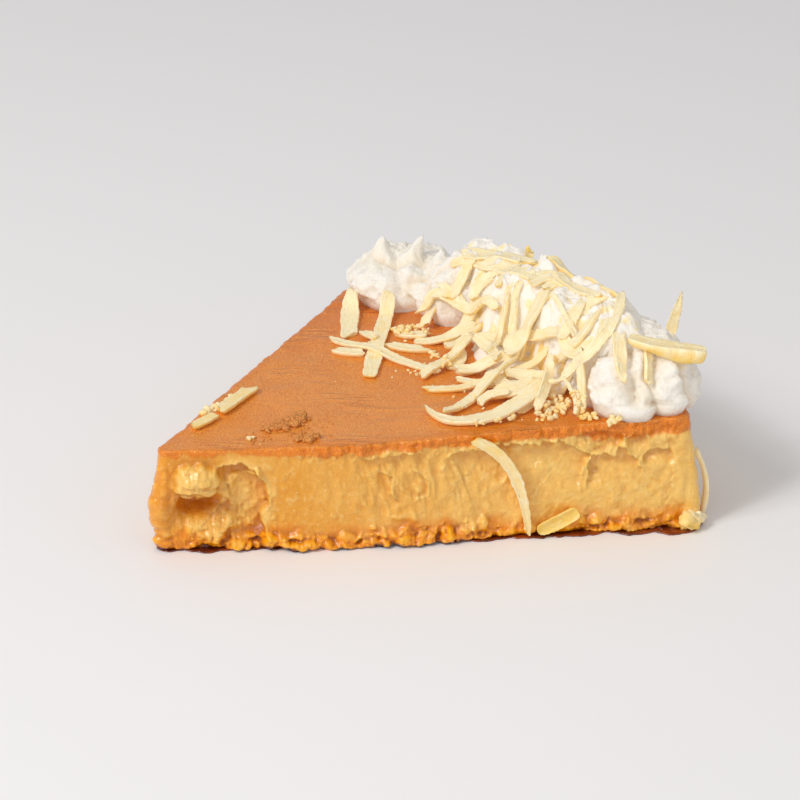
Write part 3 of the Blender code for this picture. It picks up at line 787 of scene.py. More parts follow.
# Peaks pulled up out of the cream: place seen from above, rise, reach, and lean
CREAM_PEAKS = (
    ((34.8, 44.4), 3.0, 2.8, (0.3, -0.6)),
    ((39.6, 37.6), 4.6, 1.7, (0.9, -1.6)),
    ((37.4, 40.8), -1.0, 1.8, (0.0, 0.0)),
    ((42.5, 31.2), 3.4, 1.6, (0.0, -0.6)),
)
# Strokes over the cream that shows: their ends in the picture, their reach in its pixels, and
# how far they stand out, which is less than nothing for creases
CREAM_STROKES = (
    ((628, 346), (634, 402), 5.5, -2.4),
    ((650, 372), (659, 414), 4.5, -1.7),
    ((603, 366), (607, 398), 12.0, 1.2),
    ((641, 360), (645, 398), 5.0, 0.7),
    ((672, 350), (682, 392), 15.0, 1.3),
    ((596, 392), (610, 386), 4.0, -0.8),
    ((660, 379), (690, 376), 3.5, -0.5),
    ((664, 390), (686, 392), 3.0, -0.4),
    ((381, 248), (366, 284), 6.0, 1.0),
    ((394, 252), (398, 292), 5.0, -1.8),
    ((415, 244), (411, 270), 4.0, 1.1),
    ((424, 250), (424, 292), 4.0, -1.5),
    ((440, 252), (433, 286), 6.0, 0.9),
    ((352, 268), (362, 296), 7.0, 0.6),
    ((374, 290), (380, 306), 3.0, -1.0),
)


class Cream:
    """The piped ridge's form in millimetres."""

    # Angles about the tip at which it ends, and between one mound and the next
    front_end = math.radians(-23.6)
    back_end = math.radians(22.0)
    mound_pitch = math.radians(11.0)

    def __init__(self, sizes, wedge):
        self.wedge = wedge
        self.radius, self.half_width, self.height, self.foot = (
            in_millimetres(sizes, "radius", "half_width", "height", "foot"))
        self.folds = sizes.folds

    def swell(self, angle):
        """One at the middle of every mound and minus one between them."""
        return np.cos(math.tau * (angle - self.back_end) / self.mound_pitch)

    def spine(self, angle):
        """The line under the ridge's top; its front end runs out towards the rim."""
        shift = 2.2 * ramp_down(angle, math.radians(-14), math.radians(9))
        return self.wedge.polar(self.radius + shift, angle)

    def width(self, angle):
        """Half the ridge's width: 1.2 mm more at each mound and at the back end."""
        back = ramp_up(angle, math.radians(17), math.radians(5))
        return self.half_width + 1.2 * self.swell(angle) + 1.2 * back

    def crest(self, angle):
        """Height of the ridge over the caramel: mounds, a rise near its front end at -17.5
        degrees, and a drop to its back end."""
        degrees = np.degrees(angle)
        crest = self.height + self.swell(angle) + 2.0 * bell(degrees + 17.5, 3.4)
        return crest - 4.6 * ramp_up(degrees, 13, 5)

    def columns(self, straight, end):
        """Stations round the ridge: spine angle, direction out, and share of the way round."""
        run = np.linspace(self.front_end, self.back_end, straight + 1)
        half_turn = np.linspace(0, math.pi, end + 1)[1:-1]
        angles = np.concatenate([run, np.full(end - 1, self.back_end),
                                 run[::-1], np.full(end - 1, self.front_end)])
        facings = np.concatenate([run, self.back_end + half_turn, run[::-1] + math.pi,
                                  self.front_end + math.pi + half_turn])
        return angles, facings, np.arange(len(angles)) / len(angles)

    def fold_valleys(self, around, slant):
        """Zero on the back of every fold and one in its valley.

        One less the absolute value of a sine makes the valleys sharp; the folds drift round
        the ridge and curl as they rise.
        """
        drift = 0.45 * np.sin(math.tau * 3 * around) + 0.3 * np.sin(math.tau * 7 * around + 1)
        phase = around * self.folds + drift + 0.5 * np.cos(slant) + 0.35 * np.sin(3 * slant)
        return 1.0 - np.abs(np.sin(np.pi * phase))

    def folded_ridge(self, angles, outward, slant, valley):
        """Points of the ridge with its folds.

        Over a slant t from 0 at the widest line to a quarter turn at the spine, the distance
        out is width times cos t and the height is crest times (1 - out^2.2)^0.6. With fold
        for 0.38 - valley^1.7 and out for cos t, the folds scale the distance by 1 + 0.19 fold
        out and the height by 1 + 0.12 fold sin(pi out).
        """
        out_share = np.cos(slant)
        fold = 0.38 - valley**1.7
        width = self.width(angles) * (out_share * (1 + 0.19 * fold * out_share))
        flat = self.spine(angles) + width[..., None] * outward
        profile = (1.0 - np.clip(out_share, 0, 1)**2.2)**0.6
        lift = 1 + 0.12 * fold * np.sin(np.pi * out_share)
        base = self.wedge.top_height(self.spine(angles))
        height = base + self.foot + (self.crest(angles) - self.foot) * lift * profile
        return raised(flat, height)

    def relief(self, points, away):
        """How far the surface stands out: swirls, lumps, pits and the strokes that show."""
        swirl = 1.0 - 2.2 * np.abs(rough(points * [1.0, 1.0, 0.6], 7.5, 81, 2))
        relief = 0.50 * swirl - 0.35 + 0.60 * rough(points, 3.0, 87)
        relief = relief + 0.42 * rough(points, 1.2, 89)
        u, v = picture_place(points)
        seen = smooth_step(0.2 - away @ VIEW_FORWARD)
        for start, end, reach, out in CREAM_STROKES:
            relief = relief + out * near_stroke(u, v, start, end, reach) * seen
        return relief

    def pull_peaks(self, points, slant):
        """Pull the points near every peak up, and over to the side to which it leans."""
        for place, rise, reach, lean in CREAM_PEAKS:
            distance = np.linalg.norm(points[..., :2] - place, axis=-1)
            near = np.exp(-(distance / reach)**1.4) * ramp_up(slant, 0.0, 0.35)
            near = near * (1.0 + 0.45 * rough(points, 1.7, 141))
            points[..., 2] += rise * near
            points[..., :2] += np.array(lean) * (near**2)[..., None]

    def surface(self, straight, end, rows):
        """Rings from the foot, out to the widest line and up to the spine, and how deep in a
        fold each of their points lies."""
        angles, facings, around = self.columns(straight, end)
        slant = np.linspace(0.0, math.pi / 2, rows)[:, None]
        outward = np.stack([np.cos(facings), np.sin(facings)], axis=-1)
        valley = self.fold_valleys(around, slant)
        points = self.folded_ridge(angles, outward, slant, valley)
        away = raised(outward * np.cos(slant)[..., None], np.sin(slant))
        relief = self.relief(points, away) * smooth_step(slant / 0.12 + 0.3)
        points = points + away * relief[..., None]
        self.pull_peaks(points, slant)
        points[-1] = self.spine_top(angles, points[-1])
        foot = self.foot_rings(points[0], outward)
        return np.concatenate([foot, points]), np.concatenate([valley[:1], valley[:1], valley])

    def spine_top(self, angles, ring):
        """The last ring pressed onto the spine, so that the two sides meet there."""
        height = np.interp(angles, *self.by_angle(angles, ring[:, 2]))
        return raised(self.spine(angles), height)

    def by_angle(self, angles, values):
        """Mean of the values of both sides of the ridge at every angle of its spine."""
        steps = np.unique(angles)
        return steps, np.array([values[angles == step].mean() for step in steps])

    def foot_rings(self, widest, outward):
        """Two rings below the widest line: where it meets the caramel, and a tucked foot."""
        rings = []
        for inward, over in ((1.2, -0.5), (0.5, 1.1)):
            ring = widest.copy()
            ring[:, :2] -= outward * inward
            ring[:, 2] = self.wedge.top_height(ring[:, :2]) + over
            rings.append(ring)
        return np.stack(rings)


# ------------------------ the pile of cheese

def sight(u, v, height):
    """The place, or places, at a height that shows at picture place (u, v)."""
    side, down = (u - VIEW_SIZE / 2) / VIEW_FOCAL, (v - VIEW_SIZE / 2) / VIEW_FOCAL
    ray = VIEW_FORWARD + side * VIEW_RIGHT + down * VIEW_DOWN
    return VIEW_PLACE + np.multiply.outer((height - VIEW_PLACE[2]) / ray[2], ray)


def midpoints_added(points, axis):
    """Rows or columns of points with a new one half way between each two."""
    points = np.moveaxis(points, axis, 0)
    doubled = np.empty((2 * len(points) - 1, *points.shape[1:]))
    doubled[::2] = points
    doubled[1::2] = (points[1:] + points[:-1]) / 2
    return np.moveaxis(doubled, 0, axis)


class Pile:
    """Height of what lies on the slice, on a square grid; it grows as shreds are laid."""

    # Side of a cell, and how far the grid reaches each way from the middle
    cell = 0.45
    reach = 72.0
    # Heights at which seen_height looks, from the highest down
    levels = np.arange(56.0, 24.0, -0.1)
    # A line of sight this far past the rim counts as this much higher over the pile
    past_rim = 1.0
    far_over = 40.0

    def __init__(self, wedge, cream_points):
        self.wedge = wedge
        self.count = int(2 * self.reach / self.cell)
        steps = (np.arange(self.count) + 0.5) * self.cell - self.reach
        flat = np.stack(np.meshgrid(steps, steps, indexing="ij"), axis=-1)
        self.heights = wedge.top_surface(flat)
        self.raise_to(cream_points)

    def raise_to(self, points):
        """Lift the cells under a surface to its points and to the middles between them."""
        for axis in (0, 1):
            points = midpoints_added(points, axis)
        cells = ((points[..., :2] + self.reach) / self.cell).astype(int)
        cells = np.clip(cells, 0, self.count - 1)
        np.maximum.at(self.heights, (cells[..., 0], cells[..., 1]), points[..., 2])

    def height(self, flat):
        """Height of the pile at each place, blended between the four nearest cells."""
        cells = (np.asarray(flat) + self.reach) / self.cell - 0.5
        low = np.clip(np.floor(cells).astype(int), 0, self.count - 2)
        share = np.clip(cells - low, 0.0, 1.0)
        row, column = low[..., 0], low[..., 1]
        near, far = (self.heights[row, column + side] * (1 - share[..., 0])
                     + self.heights[row + 1, column + side] * share[..., 0] for side in (0, 1))
        return near * (1 - share[..., 1]) + far * share[..., 1]

    def seen_height(self, u, v):
        """Height at which the line of sight through (u, v) first meets the pile, or is
        nearest to it."""
        line = sight(u, v, self.levels)
        over = line[:, 2] - self.height(line[:, :2])
        past = self.wedge.from_tip(line[:, :2]) > self.wedge.radius + self.past_rim
        over = over + self.far_over * past
        met = over <= 0.0
        return self.levels[np.argmax(met) if met.any() else np.argmin(over)]


def running(values, reach, pick):
    """Largest or mean value within reach samples either way along a line."""
    padded = np.pad(values, reach, mode="edge")
    return pick(np.lib.stride_tricks.sliding_window_view(padded, 2 * reach + 1), axis=-1)


def arc(start, bend, end, samples):
    """Points on the parabola that leaves start and reaches end, both aimed at bend."""
    start, bend, end = (np.asarray(point, dtype=float) for point in (start, bend, end))
    share = np.linspace(0, 1, samples)[:, None]
    return (1 - share)**2 * start + 2 * share * (1 - share) * bend + share**2 * end


def arc_through(start, middle, end, samples):
    """The parabola from start to end that passes through middle half way."""
    start, middle, end = (np.asarray(point, dtype=float) for point in (start, middle, end))
    return arc(start, 2.0 * middle - (start + end) / 2.0, end, samples)


# Reach over which a shred bridges dips, the steepest sideways slope that it takes, how far it
# sinks into what it lies on, and how much farther from SOFT_LEVEL up, where that is cream
SHRED_STIFFNESS = 3.0
SHRED_SLOPE = 0.8
SHRED_SINK = 0.2
SOFT_SINK = 1.25
SOFT_LEVEL = 28.5
# How far a shred's middle line lies over what is under it, as a share of its thickness, and
# the samples along a shred that shows much and along any other
MIDDLE_LINE = 0.7
SHRED_SAMPLES = 61
PLAIN_SAMPLES = 41
SEEN_ROUNDS = 4
# Share of the light that goes through a shred
SHRED_SOFT = 0.3


def rest_on(pile, flat, width, lifts):
    """Lay a plan line on the pile: its heights and its sideways slope.

    The line takes the pile's slope across it, then the highest clearance over its width, and
    spans dips as a stiff strip: by a running maximum over half its reach, then a running mean.
    """
    along = np.gradient(flat, axis=0)
    steps = np.linalg.norm(along, axis=1)
    across = np.stack([along[:, 1], -along[:, 0]], axis=-1) / steps[:, None]
    reach = max(2, int(SHRED_STIFFNESS / steps.mean()))
    sides = np.linspace(-0.5, 0.5, 5) * width
    bed = pile.height(flat[:, None, :] + across[:, None, :] * sides[:, None])
    slope = running((bed[:, -1] - bed[:, 0]) / width, reach, np.mean)
    slope = np.clip(slope, -SHRED_SLOPE, SHRED_SLOPE)
    clear = np.max(bed - slope[:, None] * sides, axis=1)
    height = running(running(clear, reach // 2, np.max), reach, np.mean)
    share = np.linspace(0, 1, len(flat))
    sink = SHRED_SINK + SOFT_SINK * ramp_up(height, SOFT_LEVEL, 3.0)
    height = height + lifts[0] * (1 - share)**2 + lifts[1] * share**2 - sink
    return height, slope, across


def lay_shred(pile, flat, width, thickness, lifts):
    """Lay one shred and raise the pile by it: its path and the way its flat side faces."""
    height, slope, across = rest_on(pile, flat, width, lifts)
    path = raised(flat, height + thickness * MIDDLE_LINE)
    across = raised(across, 0.0)
    sides = np.linspace(-0.45, 0.45, 7) * width
    top = path[:, None, :] + across[:, None, :] * sides[:, None]
    top[..., 2] += slope[:, None] * sides
    pile.raise_to(top)
    return path, UP - across * slope[:, None]


def seen_shred(pile, places, width, thickness, lifts):
    """Lay a shred so that its start, middle and end show at three picture places.

    Each round looks along the lines of sight at the last heights, lays the plan line there
    and moves the heights half way to those at which it comes to rest.
    """
    heights = np.array([pile.seen_height(u, v) for u, v in places]) + thickness
    for _ in range(SEEN_ROUNDS):
        ends = [sight(u, v, height)[:2] for (u, v), height in zip(places, heights)]
        flat = arc_through(*ends, SHRED_SAMPLES)
        rested = rest_on(pile, flat, width, lifts)[0] + thickness * MIDDLE_LINE
        heights = 0.5 * heights + 0.5 * rested[[0, SHRED_SAMPLES // 2, -1]]
    return lay_shred(pile, flat, width, thickness, lifts)


# Distance between the stations along a shred, and the least and most of them
STATION_STEP = 0.34
STATIONS = (22, 96)
# Turns of the points round a shred's section, over its flat side from 0 to 180 degrees
SECTION_TURNS = np.radians([0, 10, 32, 62, 90, 118, 148, 170, 180, 208, 240, 270, 300, 332])


def shred_stations(path, facing):
    """Even stations along a path: distance, place, and the ways along, to the side and up."""
    reach = np.concatenate([[0], np.linalg.norm(np.diff(path, axis=0), axis=1).cumsum()])
    distance = np.linspace(0, reach[-1], int(np.clip(reach[-1] / STATION_STEP, *STATIONS)))
    path = np.column_stack([np.interp(distance, reach, column) for column in path.T])
    facing = np.broadcast_to(facing, (len(reach), 3))
    facing = np.column_stack([np.interp(distance, reach, column) for column in facing.T])
    along = np.gradient(path, axis=0)
    along /= np.linalg.norm(along, axis=1)[:, None]
    side = np.cross(along, facing)
    side /= np.linalg.norm(side, axis=1)[:, None]
    return distance, path, along, side, np.cross(side, along)


def shred_section():
    """A half moon: how far across and up its points are, and which lie on its flat side.

    Across is |cos|^0.55 on the flat side and |cos|^0.8 below it; up is 0.3 |sin|^0.6 on the
    flat side and 0.8 |sin| down below it.
    """
    above = np.sin(SECTION_TURNS) > 1e-6
    across = np.abs(np.cos(SECTION_TURNS))**np.where(above, 0.55, 0.8)
    height = np.abs(np.sin(SECTION_TURNS))
    rise = np.where(above, 0.30 * height**0.6, -0.80 * height)
    return np.sign(np.cos(SECTION_TURNS)) * across, rise, above


def tapered(share, taper):
    """Share of the width that is left at places from -1 to 1 along a shred."""
    ends = [1.0 - (1.0 - left) * np.abs(share)**(1.2 + 1.3 * left) for left in taper]
    return np.where(share < 0, *ends)


def shred_mesh(path, facing, width, thickness, generator, taper=(0.8, 0.8), blunt=24,
               growth=0.0, dish=0.0):
    """A grated strip carried along a path: a ring of points at every station.

    The flat side has grooves and its two edges carry fine teeth, where the grater tore it.
    taper gives the share of the width left at each end, blunt how squarely it ends, growth
    how much thicker its end is than its start, and dish how far the flat side is hollowed.
    Returns the rings and their marks: under, which is zero on the flat side and one below,
    and how far every point is across the strip and along it.
    """
    distance, path, along, side, up = shred_stations(path, facing)
    across, rise, above = shred_section()
    offset = generator.uniform(0, 500)
    slant = generator.uniform(-0.9, 0.9, 2)
    share = np.linspace(-1, 1, len(distance))
    close = np.sqrt(np.clip(1.0 - np.abs(share)**blunt, 0.0, 1.0))
    lengthwise = flat_points(distance + offset, 0.0)
    half = (width / 2) * (1.0 + 0.09 * grain(lengthwise, 3.4, 91))
    half = half * tapered(share, taper) * (0.45 + 0.55 * close)
    thick = thickness * (1.0 + 0.15 * grain(lengthwise + 40.0, 2.6, 95)) * (0.25 + 0.75 * close)
    thick = thick * (1.0 + growth * smooth_step(0.5 + share))
    grooves = 0.16 * np.cos(across * 3 * math.pi) * above
    hollowed = dish * above * (1 - across**2)**0.5 * close[:, None]
    lift = thick[:, None] * (rise - grooves - 0.14 * across**2 - hollowed)
    shear = np.where(share < 0, *slant) * np.abs(share)**6 * (blunt > 10)
    edge = bell(rise - 0.1, 0.14) * np.abs(across)**6
    teeth = grain(flat_points(distance[:, None] + offset, across * 9.0), 0.5, 93)
    aside = half[:, None] * across + 0.16 * teeth * edge * np.sign(across)
    lift = lift + 0.14 * np.abs(teeth) * edge
    ahead = shear[:, None] * across * width / 2
    rings = (path[:, None, :] + side[:, None, :] * aside[..., None]
             + up[:, None, :] * lift[..., None] + along[:, None, :] * ahead[..., None])
    fine = 0.05 * grain(rings + offset, 0.6, 97) * (0.4 + np.abs(rise))
    rings = rings + up[:, None, :] * fine[..., None]
    marks = {"under": smooth_step(0.5 - rise * 2.2), "across": half[:, None] * across * MM,
             "run": (distance + offset)[:, None] * 0.2 * MM}
    return rings[:, ::-1], {name: np.broadcast_to(values, rings.shape[:2])[:, ::-1]
                            for name, values in marks.items()}


def join_strips(strips):
    """The surface and the marks of many strips, each given as rings, marks and tone."""
    points, quads, triangles, marks = [], [], [], {}
    start = 0
    for rings, strip_marks, tone in strips:
        ends = rings[0].mean(axis=0), rings[-1].mean(axis=0)
        strip_points, strip_quads, strip_triangles = closed_surface(rings, *ends)
        points.append(strip_points)
        quads.append(strip_quads + start)
        triangles.append(strip_triangles + start)
        for name, values in {"tone": np.full(rings.shape[:2], tone), **strip_marks}.items():
            filled = with_poles(values, values[0].mean(), values[-1].mean())
            marks.setdefault(name, []).append(filled)
        start += len(strip_points)
    marks = {name: np.concatenate(values) for name, values in marks.items()}
    return [np.concatenate(parts) for parts in (points, quads, triangles)], marks


# Shreds of the heap that show, in the order they are laid: picture places of the start, the
# middle and the end, the width, how far the two ends lie over what is under them, in mm, and
# for some the share of the width left at each end
HEAP_SHREDS = (
    ((334, 349), (349, 351), (364, 352), 3.0, (0.0, 0.0)),
    ((387, 343), (406, 347), (426, 348), 3.2, (0.0, 0.0)),
    ((396, 331), (410, 334), (427, 333), 3.0, (0.0, 0.0)),
    ((424, 326), (428, 316), (434, 307), 2.8, (0.0, 0.5)),
    ((352, 289), (350, 312), (349, 335), 4.2, (0.6, 0.0), (0.97, 1.0)),
    ((389, 302), (380, 335), (369, 376), 3.7, (0.8, 0.0), (0.9, 1.0)),
    ((362, 331), (368, 334), (375, 337), 2.2, (0.0, 0.0)),
    ((330, 338), (383, 351), (437, 371), 2.6, (0.2, 0.4)),
    ((425, 388), (450, 388), (486, 381), 2.5, (0.0, 0.8)),
    ((446, 346), (462, 340), (482, 322), 2.4, (0.5, 0.5)),
    ((421, 376), (442, 362), (470, 337), 2.7, (0.2, 1.0)),
    ((456, 368), (482, 366), (510, 353), 2.9, (0.6, 1.2)),
    ((492, 376), (500, 381), (510, 390), 3.4, (0.5, 0.2)),
    ((505, 371), (524, 375), (545, 376), 2.8, (0.8, 1.0)),
    ((470, 333), (486, 345), (497, 358), 2.6, (0.5, 0.5)),
    ((520, 341), (540, 348), (560, 345), 2.8, (0.4, 0.4)),
    ((560, 340), (572, 352), (585, 360), 3.2, (0.4, 0.4)),
    ((486, 393), (513, 388), (541, 378), 5.0, (0.2, 0.8)),
    ((425, 406), (472, 419), (545, 383), 4.4, (0.5, 1.4), (0.05, 0.9)),
    ((443, 411), (485, 382), (528, 339), 2.9, (0.4, 1.4), (0.5, 0.9)),
    ((480, 404), (487, 396), (509, 391), 2.2, (0.0, 0.4)),
    ((551, 364), (545, 388), (535, 407), 2.4, (1.2, 0.6)),
    ((509, 352), (513, 330), (522, 306), 1.9, (0.4, 0.3)),
    ((488, 350), (501, 330), (508, 303), 1.7, (0.4, 0.2)),
    ((504, 350), (527, 324), (545, 290), 5.4, (0.8, 0.6)),
    ((418, 311), (458, 312), (496, 318), 2.8, (0.6, 0.8)),
    ((472, 300), (480, 285), (497, 276), 2.6, (0.4, 0.4)),
    ((446, 300), (460, 285), (474, 262), 2.6, (0.4, 0.6)),
    ((560, 338), (571, 322), (583, 300), 2.6, (0.5, 0.5)),
    ((552, 294), (563, 312), (576, 336), 1.4, (0.8, 0.8)),
    ((462, 254), (494, 254), (529, 262), 4.4, (0.4, 0.4)),
    ((478, 262), (505, 268), (533, 276), 4.0, (0.2, 0.2)),
    ((530, 282), (552, 275), (566, 284), 4.0, (0.2, 0.2)),
    ((549, 259), (586, 274), (619, 293), 2.8, (0.8, 1.0)),
    ((558, 272), (576, 287), (598, 296), 2.4, (0.4, 0.6)),
    ((570, 344), (586, 327), (599, 309), 3.8, (0.3, 0.3)),
    ((596, 350), (601, 336), (606, 318), 2.2, (0.4, 0.6)),
    ((621, 292), (604, 339), (551, 382), 2.5, (1.2, 0.8)),
    ((530, 244), (529, 249), (528, 255), 2.2, (1.8, 0.2)),
    ((618, 338), (621, 370), (624, 401), 3.2, (0.2, 0.2), (0.9, 0.3)),
    ((646, 366), (648, 383), (648, 401), 2.2, (0.4, 0.3)),
    ((576, 383), (580, 393), (583, 408), 2.0, (0.2, 0.0)),
    ((563, 392), (574, 400), (575, 412), 0.9, (0.2, 0.0)),
)
# Where the shreds are pressed into the cream and turn white: strokes of the picture
CREAMY_STROKES = (((512, 322), (606, 332), 24.0), ((646, 366), (648, 400), 8.0))
HEAP_SEED = 11
# The heap's border: its angles about the tip, how near the tip it comes and at which angle, how
# fast it draws back from there, and how far it reaches
HEAP_ANGLES = (math.radians(-25), math.radians(14))
HEAP_NEAREST = 72.0
HEAP_NEAREST_ANGLE = math.radians(-8)
HEAP_CURVE = 164.0
HEAP_FARTHEST = 115.0
# The heap's core: how deep it is, how far inside the border it begins, how far round each place
# it looks for what it lies on, and where its far side begins
BED_DEPTH = 3.2
BED_INSET = 13.0
BED_LOOK = 1.4
BED_FAR_SIDE = 103.0
# How far inside the border's near and far side the shreds under the others have their middles,
# and the share of that span by which each lies farther out than the one before
FILL_INSETS = (6.0, 4.0)
FILL_STEP = 0.618


def heap_inner(angle):
    """Distance from the tip at which the heap begins, least where it spills out farthest."""
    return HEAP_NEAREST + HEAP_CURVE * (angle - HEAP_NEAREST_ANGLE)**2


def bed_surface(pile, wedge, rows=64, columns=260):
    """The heap's core: a rough blanket over the cream and over the caramel before it.

    Rings run from its border in to its middle. A ring is a squared circle (|cos|^0.7 and
    |sin|^0.7) of angle and radius. The blanket's depth rises from nothing at the border.
    Returns the rings and their relief, which is raised on the far side to keep it pale, free of
    the hollows' painted shade.
    """
    share = np.linspace(1, 0, rows + 1)[:-1, None]
    turn = np.arange(columns) / columns * math.tau
    squared = [np.sign(wave) * np.abs(wave)**0.7 for wave in (np.cos(turn), -np.sin(turn))]
    middle, half = np.mean(HEAP_ANGLES), np.ptp(HEAP_ANGLES) / 2
    angle = middle + half * share * squared[0]
    inner = heap_inner(angle) + BED_INSET
    radius = inner + (HEAP_FARTHEST - inner) * (1 + share * squared[1]) / 2
    flat = wedge.polar(radius, angle)
    points = raised(flat, 0.0)
    flat = flat + 1.6 * np.stack([rough(points, 6.0, 121), rough(points, 6.0, 125)], axis=-1)
    around = BED_LOOK * np.stack([np.cos(turn[::20]), np.sin(turn[::20])], axis=-1)
    under = pile.height(flat[:, :, None, :] + around).mean(axis=-1)
    relief = 1.0 * rough(points, 4.2, 127) + 0.30 * rough(points, 1.3, 129)
    depth = BED_DEPTH * ramp_down(share, 1.0, 0.16) * (0.8 + 0.55 * relief)
    height = under + depth - 0.6 * (share > 0.999)
    return raised(flat, height), relief + 2.5 * ramp_up(radius, BED_FAR_SIDE, 6.0)


def fill_shreds(pile, wedge, cheese, generator):
    """Shreds under those that show: middles spread evenly over the heap, random headings."""
    made = []
    for number in range(cheese.fill):
        share = (number + 0.5) / cheese.fill
        angle = HEAP_ANGLES[0] + np.ptp(HEAP_ANGLES) * (0.06 + 0.88 * share)
        inner = heap_inner(angle) + FILL_INSETS[0]
        span = HEAP_FARTHEST - FILL_INSETS[1] - inner
        radius = inner + span * ((number * FILL_STEP) % 1.0)**1.6
        centre = wedge.polar(radius, angle)
        heading = generator.uniform(0, math.pi)
        ahead = np.array([math.cos(heading), math.sin(heading)]) * generator.uniform(4.0, 8.5)
        bow = np.array([-ahead[1], ahead[0]]) * generator.uniform(-0.25, 0.25)
        width = cheese.width / MM * generator.uniform(0.8, 1.3)
        thickness = cheese.thickness / MM * generator.uniform(0.8, 1.1)
        flat = arc_through(centre - ahead, centre + bow, centre + ahead, PLAIN_SAMPLES)
        path, facing = lay_shred(pile, flat, width, thickness, generator.uniform(-0.3, 0.3, 2))
        rings, marks = shred_mesh(path, facing, width, thickness, generator)
        made.append((rings, marks, generator.uniform()))
    return made


def shown_shreds(pile, rows, cheese, generator):
    """The shreds that show, laid in order at their picture places."""
    made = []
    for start, middle, end, width, lifts, *taper in rows:
        thickness = cheese.thickness / MM * generator.uniform(0.9, 1.15)
        places = (start, middle, end)
        path, facing = seen_shred(pile, places, width, thickness, lifts)
        rings, marks = shred_mesh(path, facing, width, thickness, generator, *taper)
        whiter = 0.8 * max(near_stroke(*middle, *stroke) for stroke in CREAMY_STROKES)
        made.append((rings, marks, generator.uniform() - whiter))
    return made


def face_path(wedge, start, bend, end, width, thickness):
    """A shred's line over the front cut, its places given as along and height.

    It lies straight from relief to relief and is moved out until it clears the cut.
    """
    along, height = arc(start, bend, end, SHRED_SAMPLES).T
    reach = [front_relief(along + side * width, height) for side in (-0.5, 0, 0.5)]
    reach = np.max(reach, axis=0)
    out = np.linspace(reach[0], reach[-1], len(reach))
    out = out + max(0.0, np.max(reach - out)) + thickness * 0.8
    flat = wedge.tip + wedge.front_along * along[:, None] + wedge.front_out * out[:, None]
    return raised(flat, height)


def top_path(wedge, start, bend, end, thickness):
    """A shred's level line over the highest place of the caramel under it."""
    flat = arc(start, bend, end, PLAIN_SAMPLES)
    return raised(flat, np.max(wedge.top_surface(flat)) + thickness * 0.75)


def rim_path(wedge, angle, top, foot, bow, thickness):
    """A curl against the rim wall, from its top down to its foot, bowed outwards."""
    share = np.linspace(0, 1, PLAIN_SAMPLES)
    height = top + (foot - top) * share
    wall = wedge.radius + wedge.lean * (1 - height / wedge.rim_height)
    out = 0.4 + thickness * 0.8 + bow * np.sin(np.pi * share)
    return raised(wedge.polar(wall + out, angle), height)


# ------------------------ crumbs

def crumb_strips(centres, sizes, seed):
    """Angular crumbs: small squashed balls whose radius is roughened by grain.

    The direction of each of a ball's points is (cos a cos b, cos a sin b, sin a) for slants a
    and turns b; its radius is the crumb's size times 0.75 plus 0.45 grain.
    """
    generator = np.random.default_rng(seed)
    slant = np.linspace(-math.pi / 2, math.pi / 2, 7)[1:-1, None]
    turn = np.arange(8)[None, :] / 8 * math.tau
    ball = np.stack([np.cos(slant) * np.cos(turn), np.cos(slant) * np.sin(turn),
                     np.sin(slant) * np.ones_like(turn)], axis=-1)
    strips = []
    for centre, size in zip(centres, sizes):
        squash = generator.uniform(0.6, 1.1, 3)
        radius = size * (0.75 + 0.45 * grain(ball * 1.6 + generator.uniform(0, 90), 1.0, 17))
        rings = centre + ball * squash * radius[..., None]
        # The lower half of each crumb is marked for the deep yellow, partly painted shade
        strips.append((rings, {"under": 0.55 - 0.35 * ball[..., 2]}, generator.uniform() + 0.2))
    return strips


# Picture places of crumbs that show: (u, v) and radius in mm
CHEESE_CRUMBS = (
    ((481, 424), 0.75), ((500, 420), 0.95), ((513, 419), 1.0), ((466, 408), 0.4),
    ((535, 414), 0.4), ((548, 414), 1.1), ((551, 421), 1.3), ((545, 407), 1.0),
    ((588, 416), 0.9), ((590, 421), 0.8), ((611, 423), 1.2), ((616, 422), 0.9),
    ((557, 405), 1.1), ((566, 408), 0.9), ((560, 398), 0.8), ((553, 398), 0.9),
    ((249, 440), 0.8), ((253, 439), 0.7), ((260, 445), 0.3), ((396, 372), 0.5),
    ((392, 378), 0.3), ((335, 382), 0.3), ((585, 398), 0.8), ((579, 403), 0.7),
)
# Strokes of crumbs that lie close: their ends in the picture, spread in its pixels, how many,
# and radii
CHEESE_CLUSTERS = (
    ((541, 420), (566, 403), 4.6, 46, (0.5, 1.1)),
    ((574, 392), (583, 412), 2.6, 14, (0.5, 1.0)),
    ((584, 419), (593, 417), 2.4, 8, (0.5, 1.0)),
    ((474, 424), (520, 419), 2.6, 10, (0.3, 0.9)),
    ((606, 425), (618, 420), 2.6, 8, (0.6, 1.1)),
    ((392, 332), (428, 330), 3.2, 40, (0.4, 1.1)),
    ((432, 352), (450, 366), 3.6, 18, (0.4, 1.0)),
    ((203, 416), (238, 398), 1.8, 22, (0.7, 1.3)),
)
BROWN_CLUSTERS = (
    ((262, 431), (281, 428), 1.8, 34, (0.4, 1.0)),
    ((279, 429), (301, 417), 3.2, 90, (0.5, 1.2)),
    ((287, 423), (303, 424), 2.8, 60, (0.5, 1.2)),
    ((296, 441), (318, 438), 2.0, 50, (0.4, 1.0)),
    ((311, 444), (306, 441), 1.8, 16, (0.4, 1.0)),
)
# Crumbs on the floor by the front corner: picture place and radius
FLOOR_CRUMBS = (
    ((687, 521), 2.9), ((692, 518), 2.8), ((698, 517), 2.6), ((689, 525), 1.9),
    ((696, 523), 2.0), ((703, 516), 1.7), ((684, 526), 1.2),
)
# Crumbs scattered at random: seed, radii and angles in degrees about the tip, and sizes; then
# how many brown ones
CHEESE_SCATTER = (7, (70.0, 84.0), (-27, 16), (0.22, 0.6))
BROWN_SCATTER = (9, (22.0, 42.0), (-27, -9), (0.12, 0.34))
BROWN_COUNT = 90


# ------------------------ finishes

